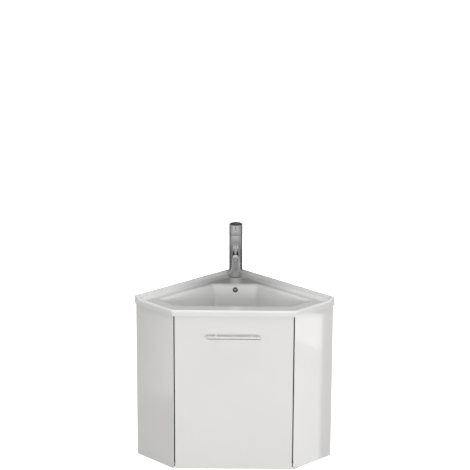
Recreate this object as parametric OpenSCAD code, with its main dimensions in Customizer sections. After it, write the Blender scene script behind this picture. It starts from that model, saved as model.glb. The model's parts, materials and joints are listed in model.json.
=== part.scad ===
// Corner vanity unit: a wall-hung cabinet that fills a room corner, with a basin on top,
// a single-lever tap, a push-open waste with its bottle trap, and one door behind a bar handle.
// +Z is up, the door faces -Y, and the room's corner lies at +Y. Millimetres.

/* [Cabinet] */
// Length of the cabinet along each wall
leg = 500; // [460:1:620]
// Depth of each side panel, square to its wall
return_d = 196; // [176:1:236]
// Height of the cabinet without the basin
cab_h = 579; // [480:1:700]
// Thickness of the cabinet's boards
board = 16; // [15:0.1:19.5]
// Width of the flat that is left on the sharp front edge of a side panel
nose_w = 1.4; // [1:0.1:3]
// Height of the two rails that hang on the wall
hang_rail_h = 100; // [80:1:120]
// Height of the two rails at the foot of the back
foot_rail_h = 80; // [50:1:110]
// Height of the rail behind the top of the door
front_rail_h = 56; // [40:1:60]
// Radius of the screw holes that hang the cabinet
hang_hole_r = 4; // [3:0.5:6]
// Distance from a screw hole to the end of its rail
hang_hole_in = 110; // [80:1:160]

/* [Shelf] */
// Height of the shelf's underside above the cabinet's foot
shelf_z = 190; // [130:1:230]
// Distance from the shelf to the boards in front of it
shelf_back = 28; // [10:1:80]
// Gap between the shelf and the panels and walls round it
shelf_gap = 1; // [0.5:0.5:3]
// Length along each wall that is cut off the shelf's corner for the pipes
shelf_cut = 95; // [40:1:160]
// Gap between the trap and the slot in the shelf
shelf_slot_gap = 12; // [6:1:20]
// Radius of a shelf pin
shelf_pin_r = 2.5; // [2:0.5:4]
// Length of a shelf pin in the panel, and as much again under the shelf
shelf_pin_in = 8; // [6:1:10]

/* [Door] */
// Thickness of the door
door_t = 16; // [15:0.5:19]
// Gap between each upright door edge and the side panel
door_side_gap = 4; // [3.6:0.1:6]
// Gap between the top of the door and the basin's rim
door_top_gap = 2.5; // [2:0.5:8]
// Distance from the foot of the cabinet to the door's lower edge
door_foot = 2; // [1:0.5:6]
// Gap between the door and the boards behind it
door_back_gap = 3.5; // [3:0.1:5]
// Radius of the door's upright edges
door_edge_r = 1; // [0.5:0.5:2]
// How far the seals reach behind the door
seal_reach = 1.5; // [0.5:0.5:2]
// Thickness of the seals
seal_t = 6; // [4:0.5:8]

/* [Hinges] */
// Distance from each hinge to its end of the door
hinge_end = 95; // [70:1:140]
// Radius of the hinge cup
cup_r = 17.5; // [17.5:0.5:20]
// Depth of the hinge cup
cup_d = 11.5; // [11:0.5:12]
// Wood left between the cup and the door's edge
cup_edge = 3; // [3:0.5:4]
// Distance from the hinge pin to the door's upright edge
pin_in = 7.5; // [7:0.1:8]
// Distance from the hinge pin to the face of the door
pin_back = 8; // [7.8:0.1:8.4]
// Radius of the hinge pin
pin_r = 1.1; // [0.9:0.05:1.2]
// Thickness of the hinge's steel arm
arm_t = 2.5; // [2:0.1:3]
// Width of the hinge's steel arm
arm_w = 10; // [8:0.5:11]
// Reach of the arm's neck from the pin, along the door
arm_reach = 16.5; // [15:0.5:18]
// Height of the arm above the side panel
arm_off = 17; // [15:0.5:20]

/* [Handle] */
// Length of the handle's bar
handle_l = 188; // [160:1:240]
// Distance between the handle's two posts
handle_span = 128; // [96:1:160]
// Radius of the handle's bar
handle_r = 6; // [5:0.5:7]
// Radius of a handle post
post_r = 5; // [4:0.5:6]
// Distance from the door's face to the middle of the bar
handle_out = 30; // [24:1:40]
// Distance from the top of the door to the middle of the bar
handle_drop = 69.5; // [66:0.5:160]

/* [Basin] */
// Height of the basin's rim along the walls
rim_h = 31; // [28:0.5:40]
// Step down from the rim along the walls to the rim in front
lip_drop = 9.5; // [6:0.5:11]
// Step down from the rim along the walls to the basin's deck
deck_drop = 14; // [12:0.5:16]
// Overhang of the basin past the cabinet
overhang = 7; // [4:0.5:12]
// Width of the raised lip round the deck
lip_w = 10; // [8:0.5:14]
// Corner radius of the basin, seen from above
rim_corner_r = 10; // [10:0.5:16]
// Radius of the basin's two corners that touch the walls
rim_tip_r = 3; // [2:0.5:4]
// Radius of the rim's upper outer edge
rim_round = 8; // [4:0.5:9]
// Thickness of the basin's outer skirt
skirt_t = 24; // [23:0.5:28]
// Depth of the recess under the deck
recess_d = 5; // [3:0.5:6]
// Distance from the room corner to the bowl's back edge
bowl_back = 171; // [160:1:190]
// Distance from each wall to the bowl
bowl_wall_gap = 64; // [58:1:76]
// Distance from each slanted front edge of the basin to the bowl
bowl_return_gap = 60; // [50:1:70]
// Distance from the basin's front edge to the bowl
bowl_front_gap = 71; // [62:1:80]
// Depth of the bowl below the deck
bowl_d = 116; // [90:1:140]
// Thickness of the bowl's wall
bowl_t = 11; // [9:0.5:13]
// Distance from the room corner to the drain
drain_back = 300; // [285:1:315]
// Distance from the top of the rim down to the overflow hole
overflow_drop = 34; // [32:1:42]
// Radius of the overflow hole
overflow_r = 7.5; // [6:0.5:9]

/* [Waste and trap] */
// Radius of the waste's pipe thread
waste_r = 20.9; // [20:0.1:22]
// Radius of the waste's flange
flange_r = 31.5; // [30:0.5:34]
// Travel of the push-open plug
plug_travel = 6; // [4:0.5:10]
// Radius of the trap's pipes
pipe_r = 16; // [15:0.5:16.5]
// Wall thickness of the trap's pipes
pipe_t = 1.6; // [1.2:0.1:2.2]
// Radius of the bottle trap's head
head_r = 29; // [27:0.5:32]
// Height of the bottle trap's cup
cup_h = 82; // [60:1:100]
// Length of the outlet pipe past the wall's face
pipe_out = 35; // [20:1:60]

/* [Tap] */
// Distance from the room corner to the tap's axis
tap_back = 66; // [64:1:70]
// Radius of the tap's body
tap_r = 24.25; // [22:0.25:25]
// Height of the tap's body above the deck
tap_h = 162; // [140:1:190]
// Height of the lever's cap
cap_h = 40; // [36:1:46]
// Radius of the spout's tube
spout_r = 11.2; // [9:0.1:12]
// Height of the spout's axis above the deck
spout_z = 102; // [80:1:115]
// Distance from the tap's axis to the end of the spout
spout_reach = 106; // [90:1:130]
// Radius of the lever's rod
lever_r = 4; // [3:0.5:5]
// Length of the lever's rod in front of the cap
lever_l = 45; // [30:1:60]
// Upward slope of the lever's rod
lever_slope = 8; // [0:1:20]
// Lift of the lever, from closed to full flow
lift = 22; // [15:1:25]
// Radius of the hole in the deck for the tap
tap_hole_r = 17.5; // [16.5:0.5:18]
// Wall radius of the two threaded inlets for the hoses
inlet_r = 4.45; // [4:0.05:4.8]

/* [Fits] */
// Running clearance on the radius of a pin or stem
run_fit = 0.05; // [0.02:0.01:0.09]
// Gap between parts that pass each other
gap = 0.4; // [0.3:0.1:0.6]

/* [Hidden] */
$fn = 64;

s2 = sqrt(2);
big = 2000;

// Plan lines, in a frame with the room corner at [0, 0] and the room at -Y.
front_y = -(leg + return_d) / s2;
corner_y = (handle_out + handle_r - front_y) / 2;
rim_leg = leg + overhang;
rim_front_y = front_y - overhang;
inner_leg = leg - board;
carcass_front_y = front_y + door_t + door_back_gap;
door_back_y = front_y + door_t;

// Heights.
rim_z = cab_h + rim_h;
front_lip_z = rim_z - lip_drop;
deck_z = rim_z - deck_drop;
bowl_z = deck_z - bowl_d;
door_h = cab_h - door_top_gap - door_foot;
hinge_zs = [door_foot + hinge_end, door_foot + door_h - hinge_end];
handle_z = door_foot + door_h - handle_drop;

// Point p along the right wall from the corner and g off that wall.
function wall_point(p, g) = [(p - g) / s2, -(p + g) / s2];
// Point at depth y on the line that is square to the right wall, p from the corner.
function front_point(p, y) = [s2 * p + y, y];
function mirrored(points) = [for (i = [len(points) - 1:-1:0]) if (points[i].x > 0.001) [-points[i].x, points[i].y]];
// An outline from the points of its right half, which run from the back to the front.
function both_halves(points) = concat(points, mirrored(points));

half_front = front_point(leg, front_y).x;
nose_x = half_front - nose_w;
half_door = nose_x - door_side_gap;

module in_room() translate([0, corner_y, 0]) children();
// X along the right wall from the corner, -Y into the room.
module right_wall() in_room() rotate([0, 0, -45]) children();
module left_wall() mirror([1, 0, 0]) right_wall() children();
// The door's hinges are drawn at its right edge and mirrored to the left one.
module hinge_side() in_room() mirror([1, 0, 0]) children();

// A hexagon nut or a ring between two radii, on Z.
module ring(outer_r, inner_r, height) {
  difference() {
    cylinder(r = outer_r, h = height);
    translate([0, 0, -1]) cylinder(r = inner_r, h = height + 2);
  }
}
module hex_nut(across_r, bore_r, height) {
  difference() {
    cylinder(r = across_r, h = height, $fn = 6);
    translate([0, 0, -1]) cylinder(r = bore_r, h = height + 2);
  }
}
// A round nut with grip ribs.
module ribbed_nut(outer_r, bore_r, height, ribs) {
  rib_r = 1.6;
  difference() {
    union() {
      cylinder(r = outer_r - rib_r / 2, h = height);
      for (i = [0:ribs - 1])
        rotate([0, 0, i * 360 / ribs]) translate([outer_r - rib_r, 0, 0]) cylinder(r = rib_r, h = height, $fn = 12);
    }
    translate([0, 0, -1]) cylinder(r = bore_r, h = height + 2);
  }
}
// A flat bar in plan from one point to another, with round ends.
module strip(from, to, thickness) {
  run = to - from;
  translate(from) circle(d = thickness);
  translate(to) circle(d = thickness);
  translate(from) rotate([0, 0, atan2(run.y, run.x)]) translate([0, -thickness / 2]) square([norm(run), thickness]);
}
// A disc with its upper edge rounded, on Z.
module soft_disc(r, height, edge_r) {
  rotate_extrude() {
    square([r, height - edge_r]);
    square([r - edge_r, height]);
    translate([r - edge_r, height - edge_r]) circle(r = edge_r);
  }
}

/* ---- Cabinet ---- */
shelf_pin_gs = [45, 145];
shelf_pin_z = shelf_z - shelf_pin_r;

module side_outline() {
  polygon([
    wall_point(leg, 0), wall_point(leg, return_d), [nose_x, front_y],
    [nose_x, nose_x - s2 * inner_leg], wall_point(inner_leg, 0)
  ]);
}
module side_panel() {
  difference() {
    in_room() linear_extrude(cab_h) side_outline();
    for (g = shelf_pin_gs)
      right_wall() translate([inner_leg - 1, -g, shelf_pin_z]) rotate([0, 90, 0])
        cylinder(r = shelf_pin_r + run_fit, h = 1 + shelf_pin_in + gap);
  }
}
module side_panel_left() color("white") mirror([1, 0, 0]) side_panel();
module side_panel_right() color("white") side_panel();

module bottom_panel() color("white") in_room() linear_extrude(board)
  polygon(both_halves([[0, 0], wall_point(inner_leg, 0), front_point(inner_leg, carcass_front_y)]));

// A back rail that starts at the given distance from the corner, with holes along its middle.
module back_rail(start, height, hole_r) {
  difference() {
    translate([start, -board, 0]) cube([inner_leg - start, board, height]);
    if (hole_r > 0)
      for (x = [hang_hole_in, inner_leg - hang_hole_in])
        translate([x, 1, height / 2]) rotate([90, 0, 0]) cylinder(r = hole_r, h = board + 2);
  }
}
hang_rail_z = cab_h - hang_rail_h;
module hanging_rail_right() color("white") right_wall() translate([0, 0, hang_rail_z])
  back_rail(0, hang_rail_h, hang_hole_r);
module hanging_rail_left() color("white") left_wall() translate([0, 0, hang_rail_z])
  back_rail(board, hang_rail_h, hang_hole_r);
module foot_rail_right() color("white") right_wall() translate([0, 0, board]) back_rail(0, foot_rail_h, 0);
module foot_rail_left() color("white") left_wall() translate([0, 0, board]) back_rail(board, foot_rail_h, 0);

module front_rail() color("white") in_room() translate([0, 0, cab_h - front_rail_h]) linear_extrude(front_rail_h)
  polygon(both_halves([front_point(inner_leg, carcass_front_y + board), front_point(inner_leg, carcass_front_y)]));

// The slot from the shelf's back edge lets the trap hang through it, whatever the shelf's height.
module shelf() color("white") in_room() translate([0, 0, shelf_z]) linear_extrude(board) difference() {
  slot_r = cup_outer_r + shelf_slot_gap;
  polygon(both_halves([
    wall_point(shelf_cut, shelf_gap), wall_point(inner_leg - shelf_gap, shelf_gap),
    front_point(inner_leg - shelf_gap, carcass_front_y + shelf_back)
  ]));
  translate([0, drain_y]) circle(r = slot_r);
  translate([-slot_r, drain_y]) square([2 * slot_r, -drain_y]);
}

module shelf_pin_pair() for (g = shelf_pin_gs)
  translate([inner_leg - shelf_pin_in, -g, shelf_pin_z]) rotate([0, 90, 0])
    cylinder(r = shelf_pin_r, h = 2 * shelf_pin_in);
module shelf_pins() color("silver") {
  right_wall() shelf_pin_pair();
  left_wall() shelf_pin_pair();
}

bumper_r = 5;
bumper_x = half_door - 14;
module door_bumpers() color("whitesmoke") in_room()
  for (z = [board / 2 + 1, cab_h - front_rail_h / 2])
    translate([bumper_x, carcass_front_y, z]) rotate([90, 0, 0]) cylinder(r = bumper_r, h = door_back_gap);

// Two rubber seals close the upright gaps from behind, each glued to its side panel's inner face.
seal_x = half_door - seal_reach;
module door_seal() in_room() translate([0, 0, board]) linear_extrude(cab_h - front_rail_h - board) polygon([
  [nose_x, carcass_front_y], [seal_x, carcass_front_y], [seal_x, carcass_front_y + seal_t],
  front_point(inner_leg, carcass_front_y + seal_t), front_point(inner_leg, nose_x - s2 * inner_leg)
]);
module door_seals() color("dimgray") {
  door_seal();
  mirror([1, 0, 0]) door_seal();
}

/* ---- Door ---- */
cup_x = half_door - cup_edge - cup_r;
pin_x = half_door - pin_in;
pin_y = front_y + pin_back;
post_screw_r = 2;
screw_slack = 0.3;

module door_outline() {
  translate([-half_door, front_y + door_edge_r]) square([2 * half_door, door_t - 2 * door_edge_r]);
  translate([-half_door + door_edge_r, front_y]) square([2 * (half_door - door_edge_r), door_t]);
  for (x = [-1, 1], y = [front_y + door_edge_r, door_back_y - door_edge_r])
    translate([x * (half_door - door_edge_r), y]) circle(r = door_edge_r, $fn = 12);
}
module door_panel() color("white") difference() {
  in_room() translate([0, 0, door_foot]) linear_extrude(door_h) door_outline();
  for (z = hinge_zs)
    hinge_side() translate([cup_x, door_back_y + 1, z]) rotate([90, 0, 0]) cylinder(r = cup_r + run_fit, h = cup_d + 1 + gap);
  for (x = [-1, 1])
    in_room() translate([x * handle_span / 2, door_back_y + 1, handle_z]) rotate([90, 0, 0])
      cylinder(r = post_screw_r + screw_slack, h = door_t + 2);
}

cup_t = 0.8;
cup_plate_t = 1;
cup_ear_x = 9.5;
cup_ear_z = 22.5;
ear_hole_r = 2.1;
lug_z = [arm_w / 2 + gap, 8.4];
// The pressed steel cup with its screw plate, and the two lugs that hold the pin.
module hinge_cup() {
  difference() {
    union() {
      translate([cup_x, door_back_y, 0]) rotate([90, 0, 0]) cylinder(r = cup_r, h = cup_d);
      translate([cup_x, door_back_y + cup_plate_t, 0]) rotate([90, 0, 0]) cylinder(r = cup_r + 1.5, h = cup_plate_t);
      translate([cup_x - cup_ear_x - 6, door_back_y, -cup_ear_z - 7])
        cube([12, cup_plate_t, 2 * (cup_ear_z + 7)]);
    }
    translate([cup_x, door_back_y + 2, 0]) rotate([90, 0, 0]) cylinder(r = cup_r - cup_t, h = cup_d + 2 - cup_t);
    for (z = [-1, 1])
      translate([cup_x - cup_ear_x, door_back_y + 2, z * cup_ear_z]) rotate([90, 0, 0]) cylinder(r = ear_hole_r, h = 4);
  }
  for (side = [-1, 1]) difference() {
    translate([pin_x - 2.2, door_back_y - cup_d + cup_t / 2, side > 0 ? lug_z[0] : -lug_z[1]])
      cube([4, pin_y + 2.2 - (door_back_y - cup_d + cup_t / 2), lug_z[1] - lug_z[0]]);
    translate([pin_x, pin_y, -lug_z[1] - 1]) cylinder(r = pin_r + run_fit, h = 2 * lug_z[1] + 2);
  }
}
module hinge_cups() color("silver") for (z = hinge_zs) hinge_side() translate([0, 0, z]) hinge_cup();
// The screws through the cups' ears: a head and the short length that shows in the ear's hole.
ear_screw_r = 3.6;
module cup_screws() color("gray") for (z = hinge_zs, side = [-1, 1])
  hinge_side() translate([cup_x - cup_ear_x, door_back_y, z + side * cup_ear_z]) rotate([-90, 0, 0]) {
    cylinder(r = ear_hole_r - gap, h = cup_plate_t + 0.5);
    translate([0, 0, cup_plate_t]) soft_disc(ear_screw_r, 1.8, 0.8);
  }

module hinge_pins() color("gray") for (z = hinge_zs)
  hinge_side() translate([pin_x, pin_y, z - lug_z[1]]) cylinder(r = pin_r, h = 2 * lug_z[1]);

// The swan neck runs from the pin out of the cup and along the side panel.
arm_p = inner_leg - arm_off;
neck_x = pin_x - arm_reach;
neck = [neck_x, neck_x - s2 * arm_p];
arm_len = 62;
arm_end = neck + arm_len * [1, 1] / s2;
knuckle_r = 2.2;
plate_l = 34;
plate_g = return_d - 48;
pedestal_w = 12;
plate_t = 2.5;
plate_w = 46;
plate_screw_z = 16;
module hinge_arm() {
  difference() {
    union() {
      translate([0, 0, -arm_w / 2]) linear_extrude(arm_w) {
        strip([pin_x, pin_y], [neck_x, pin_y], arm_t);
        strip([neck_x, pin_y], neck, arm_t);
        strip(neck, arm_end, arm_t);
      }
      translate([pin_x, pin_y, -arm_w / 2]) cylinder(r = knuckle_r, h = arm_w);
    }
    translate([pin_x, pin_y, -arm_w]) cylinder(r = pin_r + run_fit, h = 2 * arm_w);
  }
}
module hinge_arms() color("silver") for (z = hinge_zs) hinge_side() translate([0, 0, z]) hinge_arm();

// The mounting plate: a foot on the panel and a block that carries the arm.
module hinge_plate() {
  block_h = arm_off - arm_t / 2;
  translate([inner_leg - plate_t, -plate_g - plate_l / 2, -plate_w / 2]) cube([plate_t, plate_l, plate_w]);
  translate([inner_leg - block_h, -plate_g - plate_l / 2, -pedestal_w / 2]) cube([block_h, plate_l, pedestal_w]);
}
module hinge_plates() color("silver") for (z = hinge_zs) left_wall() translate([0, 0, z]) hinge_plate();

plate_screw_r = 3.5;
module hinge_screws() color("gray") for (z = hinge_zs) left_wall() translate([0, -plate_g, z]) {
  for (side = [-1, 1])
    translate([inner_leg - plate_t, 0, side * plate_screw_z]) rotate([0, -90, 0]) soft_disc(plate_screw_r, 2, 0.8);
  translate([inner_leg - arm_off - arm_t / 2, 0, 0]) rotate([0, -90, 0]) soft_disc(4, 2, 0.8);
}

handle_y = front_y - handle_out;
module handle_bar() color("silver") in_room() translate([-handle_l / 2, handle_y, handle_z]) rotate([0, 90, 0])
  rotate_extrude() {
    edge = 0.6;
    translate([0, edge]) square([handle_r, handle_l - 2 * edge]);
    square([handle_r - edge, handle_l]);
    for (y = [edge, handle_l - edge]) translate([handle_r - edge, y]) circle(r = edge);
  }
post_screw_in = 12;
module handle_posts() color("silver") in_room() for (x = [-1, 1]) translate([x * handle_span / 2, 0, handle_z])
  difference() {
    translate([0, front_y, 0]) rotate([90, 0, 0]) cylinder(r = post_r, h = handle_out);
    translate([-post_r - 1, handle_y, 0]) rotate([0, 90, 0]) cylinder(r = handle_r + run_fit, h = 2 * post_r + 2);
    translate([0, front_y + 1, 0]) rotate([90, 0, 0]) cylinder(r = post_screw_r + run_fit, h = post_screw_in + 1 + gap);
  }
module handle_screws() color("gray") in_room() for (x = [-1, 1])
  translate([x * handle_span / 2, door_back_y, handle_z]) {
    rotate([90, 0, 0]) cylinder(r = post_screw_r, h = door_t + post_screw_in);
    rotate([-90, 0, 0]) soft_disc(2 * post_screw_r, 2.2, 0.8);
  }

/* ---- Basin ---- */
drain_y = -drain_back;
drain_r = waste_r + 1.6;
flange_t = 3;
boss_z = bowl_z - 28;
bowl_p = rim_leg - bowl_return_gap;
bowl_front_y = rim_front_y + bowl_front_gap;
corner_rs = [22, 25, 45];
// Inset of the bowl's wall at its heights, from the edge down to the floor.
flare = [[0.5, -11], [-10, 5]];
bowl_levels = [[-10, 4], [-24, 8], [-bowl_d + 34, 24], [-bowl_d + 14, 34], [-bowl_d + 4, 46], [-bowl_d, 62]];
wall_tilt = atan((bowl_levels[1][1] - bowl_levels[0][1]) / (bowl_levels[0][0] - bowl_levels[1][0]));
overflow_z = rim_z - overflow_drop;
overflow_y = -bowl_back - bowl_levels[0][1] - (deck_z + bowl_levels[0][0] - overflow_z) * tan(wall_tilt);

// Corner circles of the basin's outline, inset by k, as centres.
function rim_points(k) = both_halves([[0, -s2 * k], wall_point(rim_leg - k, k), front_point(rim_leg - k, rim_front_y + k)]);
// Corner circles of the bowl's outline, inset by k: each is [x, y, radius].
function bowl_half(k) = let (c = [for (r = corner_rs) k + r]) [
  [s2 * -(bowl_wall_gap + c[0]) + bowl_back + c[0], -(bowl_back + c[0]), corner_rs[0]],
  concat(wall_point(bowl_p - c[1], bowl_wall_gap + c[1]), corner_rs[1]),
  concat(front_point(bowl_p - c[2], bowl_front_y + c[2]), corner_rs[2])
];
function bowl_circles(k) = concat(bowl_half(k), [for (c = bowl_half(k)) [-c.x, c.y, c.z]]);

// Height of the thin discs that the hulls are stretched over.
slice = 0.25;
// A post whose upper edge is rounded, for hulls.
module soft_post(p, r, edge_r, z0, z1) translate([p.x, p.y, z0]) {
  cylinder(r = r, h = z1 - z0 - edge_r, $fn = 32);
  for (a = [15:25:90])
    translate([0, 0, z1 - z0 - edge_r + edge_r * sin(a) - slice]) cylinder(r = r - edge_r + edge_r * cos(a), h = slice, $fn = 32);
}
// One level of the bowl, as thin discs at its corners.
module bowl_level(z, k) for (c = bowl_circles(k)) translate([c.x, c.y, z]) cylinder(r = c.z, h = slice, $fn = 32);

tip_round = rim_tip_r - 0.5;
module basin_rim() hull() {
  for (p = rim_points(rim_corner_r)) soft_post(p, rim_corner_r, rim_round, cab_h, front_lip_z);
  for (p = both_halves([wall_point(rim_leg - rim_tip_r, rim_tip_r)])) soft_post(p, rim_tip_r, tip_round, cab_h, front_lip_z);
}
upstand_r = lip_w / 2;
module wall_upstand() hull() {
  soft_post([0, -s2 * upstand_r], upstand_r, upstand_r - 1.5, deck_z - 2, rim_z);
  for (g = [rim_tip_r, lip_w - rim_tip_r]) soft_post(wall_point(rim_leg - rim_tip_r, g), rim_tip_r, tip_round, deck_z - 2, rim_z);
}
pocket_corner_r = 8;
module deck_pocket() hull() for (p = rim_points(lip_w + pocket_corner_r)) translate([p.x, p.y, deck_z])
  cylinder(r1 = pocket_corner_r, r2 = pocket_corner_r + 4, h = deck_drop + 2, $fn = 32);
module bowl_shell() hull() {
  bowl_level(deck_z - 4, bowl_levels[0][1] - bowl_t - 1);
  for (i = [1:len(bowl_levels) - 1]) bowl_level(deck_z + bowl_levels[i][0] - bowl_t, bowl_levels[i][1] - bowl_t);
}
module bowl_hollow() hull() for (level = bowl_levels) bowl_level(deck_z + level[0], level[1]);
module bowl_flare() hull() for (level = flare) bowl_level(deck_z + level[0], level[1]);

duct_w = 28;
duct_d = 12;
duct_t = 8;
duct_y = overflow_y + 14;
duct_low_z = boss_z + 5;
duct_low_h = 10;
duct_top_z = deck_z - 8;
boss_r = 40;
module overflow_axis() translate([0, overflow_y, overflow_z]) rotate([90 - wall_tilt, 0, 0]) children();
// The overflow runs down behind the bowl and under its floor to the drain.
module overflow_duct() {
  translate([-duct_w / 2 - duct_t, duct_y - 50, boss_z])
    cube([duct_w + 2 * duct_t, duct_d + duct_t + 50, deck_z - boss_z - deck_skin / 2]);
  translate([-duct_w / 2 - duct_t, drain_y, boss_z])
    cube([duct_w + 2 * duct_t, duct_y - drain_y, bowl_z - boss_z - 2]);
  translate([0, drain_y, boss_z]) cylinder(r = boss_r, h = bowl_z - boss_z - 2);
}
module overflow_channel() {
  translate([-duct_w / 2, duct_y, duct_low_z]) cube([duct_w, duct_d, duct_top_z - duct_low_z]);
  translate([-duct_w / 2, drain_y, duct_low_z]) cube([duct_w, duct_y - drain_y + 1, duct_low_h]);
  overflow_axis() translate([0, 0, -22]) cylinder(r = overflow_r, h = 30);
}
deck_skin = deck_z - cab_h - recess_d;
module under_recess() translate([0, 0, cab_h - 1]) linear_extrude(1 + recess_d) polygon(rim_points(skirt_t));
module basin() color("white") in_room() difference() {
  union() {
    difference() {
      union() {
        basin_rim();
        wall_upstand();
        mirror([1, 0, 0]) wall_upstand();
      }
      deck_pocket();
      under_recess();
    }
    bowl_shell();
    overflow_duct();
  }
  bowl_flare();
  bowl_hollow();
  overflow_channel();
  translate([0, drain_y, boss_z - 1]) cylinder(r = drain_r, h = bowl_z - boss_z + 2);
  translate([0, drain_y, bowl_z - flange_t]) cylinder(r = flange_r + gap, h = flange_t + 1);
  translate([0, -tap_back, cab_h]) cylinder(r = tap_hole_r, h = rim_h);
}

ring_out = 1.8;
ring_r = overflow_r + 2;
spoke_w = 1.6;
// The overflow's chrome trim: a flanged sleeve with a small cap on three spokes.
module overflow_ring() color("silver") in_room() overflow_axis() {
  difference() {
    union() {
      soft_disc(ring_r, ring_out, 0.8);
      translate([0, 0, -6]) cylinder(r = overflow_r - run_fit, h = 7);
    }
    translate([0, 0, -7]) cylinder(r = overflow_r - 1.4, h = 10);
  }
  soft_disc(2.6, ring_out, 0.6);
  for (a = [90, 210, 330])
    rotate([0, 0, a]) translate([0, -spoke_w / 2, 0]) cube([overflow_r - 1, spoke_w, ring_out / 2]);
}

/* ---- Waste and trap ---- */
waste_low_z = boss_z - 54;
waste_bore_r = waste_r - 3;
stem_r = 4;
gasket_t = 5;
waste_nut_t = 10;
guide_z = boss_z - 24;
guide_h = 7;
plug_r = flange_r - 2.5;
plug_lift = 2.6;
plug_t = 5.5;
plug_dome_r = 110;
seal_r = 1.2;

module at_drain(z) in_room() translate([0, drain_y, z]) children();
module waste_body() color("silver") at_drain(0) {
  difference() {
    union() {
      translate([0, 0, bowl_z - flange_t]) soft_disc(flange_r, flange_t, 1);
      translate([0, 0, waste_low_z]) cylinder(r = waste_r, h = bowl_z - waste_low_z - 1);
    }
    translate([0, 0, waste_low_z - 1]) cylinder(r = waste_bore_r, h = bowl_z - waste_low_z + 2);
    for (a = [0, 90])
      rotate([0, 0, a]) translate([-6, -waste_r - 1, duct_low_z + 1]) cube([12, 2 * waste_r + 2, duct_low_h - 2]);
  }
  difference() {
    union() {
      for (a = [0, 60, 120])
        rotate([0, 0, a]) translate([-waste_bore_r - 1, -1.2, guide_z]) cube([2 * waste_bore_r + 2, 2.4, guide_h - 2]);
      translate([0, 0, guide_z]) cylinder(r = stem_r + 2.5, h = guide_h);
    }
    translate([0, 0, guide_z - 1]) cylinder(r = stem_r + run_fit, h = guide_h + 2);
  }
}
module waste_gasket() color("dimgray") at_drain(boss_z - gasket_t) ring(waste_r + 9, waste_r + run_fit, gasket_t);
module waste_nut() color("gainsboro") at_drain(boss_z - gasket_t - waste_nut_t)
  hex_nut(waste_r + 11, waste_r + run_fit, waste_nut_t);

// The domed plug and its stem, down on the waste.
module waste_plug() color("silver") at_drain(bowl_z + plug_lift) {
  rotate_extrude() intersection() {
    square([plug_r, plug_t]);
    translate([0, plug_t - plug_dome_r]) circle(r = plug_dome_r, $fn = 200);
  }
  stem_low_z = guide_z - plug_travel - stem_r;
  translate([0, 0, stem_low_z - bowl_z - plug_lift]) cylinder(r = stem_r, h = bowl_z + plug_lift - stem_low_z + 0.5);
}
module plug_seal() color("dimgray") at_drain(bowl_z + plug_lift - seal_r)
  rotate_extrude() translate([plug_r - 4, 0]) circle(r = seal_r);

inlet_nut_h = 26;
inlet_nut_z = waste_low_z - 6;
head_top_z = waste_low_z - 30;
head_h = 62;
head_t = 3;
head_nut_h = 16;
outlet_z = head_top_z - 24;
stub_l = 46;
stub_r = pipe_r + 4;
sleeve_h = 20;
cup_t_wall = 3;
dip_end_z = head_top_z - head_h - 22;
wall_run = drain_back / s2;

module trap_inlet_nut() color("gainsboro") at_drain(inlet_nut_z) difference() {
  ribbed_nut(waste_r + 6, pipe_r + gap, inlet_nut_h, 18);
  translate([0, 0, waste_low_z - inlet_nut_z - 2]) cylinder(r = waste_r + run_fit, h = inlet_nut_h);
}
module trap_dip_tube() color("whitesmoke") at_drain(dip_end_z)
  ring(pipe_r, pipe_r - pipe_t, waste_low_z - 2 - dip_end_z);
module trap_head_nut() color("gainsboro") at_drain(head_top_z) ribbed_nut(pipe_r + 8, pipe_r + gap, head_nut_h, 16);

// Z of the outlet's own frame runs square to the right wall.
module outlet_axis() at_drain(outlet_z) rotate([0, 0, 45]) rotate([0, 90, 0]) children();
module trap_head() color("whitesmoke") difference() {
  union() {
    at_drain(head_top_z - head_h) cylinder(r = head_r, h = head_h);
    outlet_axis() cylinder(r = stub_r, h = stub_l);
  }
  at_drain(head_top_z - head_h - 1) cylinder(r = head_r - head_t, h = head_h + 1 - head_t);
  at_drain(head_top_z - head_t - 1) cylinder(r = pipe_r + gap, h = head_t + 2);
  outlet_axis() cylinder(r = pipe_r + gap, h = stub_l + 1);
}
cup_top_z = head_top_z - head_h + sleeve_h - 6;
cup_outer_r = head_r + cup_t_wall + gap;
module trap_cup() color("whitesmoke") at_drain(cup_top_z - cup_h) {
  foot_r = cup_outer_r - 7;
  inner_top_r = head_r + run_fit;
  rotate_extrude() polygon([
    [0, 0], [foot_r - 5, 0], [foot_r, 3], [foot_r, cup_h - sleeve_h - 8], [cup_outer_r, cup_h - sleeve_h], [cup_outer_r, cup_h],
    [inner_top_r, cup_h], [inner_top_r, cup_h - sleeve_h + 5], [foot_r - cup_t_wall, cup_h - sleeve_h - 10],
    [foot_r - cup_t_wall, 6], [foot_r - 8, cup_t_wall], [0, cup_t_wall]
  ]);
  for (i = [0:11])
    rotate([0, 0, i * 30]) translate([cup_outer_r - 0.5, 0, cup_h - sleeve_h + 1]) cylinder(r = 2, h = sleeve_h - 2, $fn = 16);
}
outlet_nut_l = 22;
groove_w = 1;
groove_d = 0.3;
outlet_nut_z = stub_l - 12;
module trap_outlet_nut() color("gainsboro") outlet_axis() translate([0, 0, outlet_nut_z]) difference() {
  ribbed_nut(stub_r + 4, pipe_r + gap, outlet_nut_l, 16);
  translate([0, 0, -1]) cylinder(r = stub_r + run_fit, h = stub_l - outlet_nut_z + 1);
}
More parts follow.
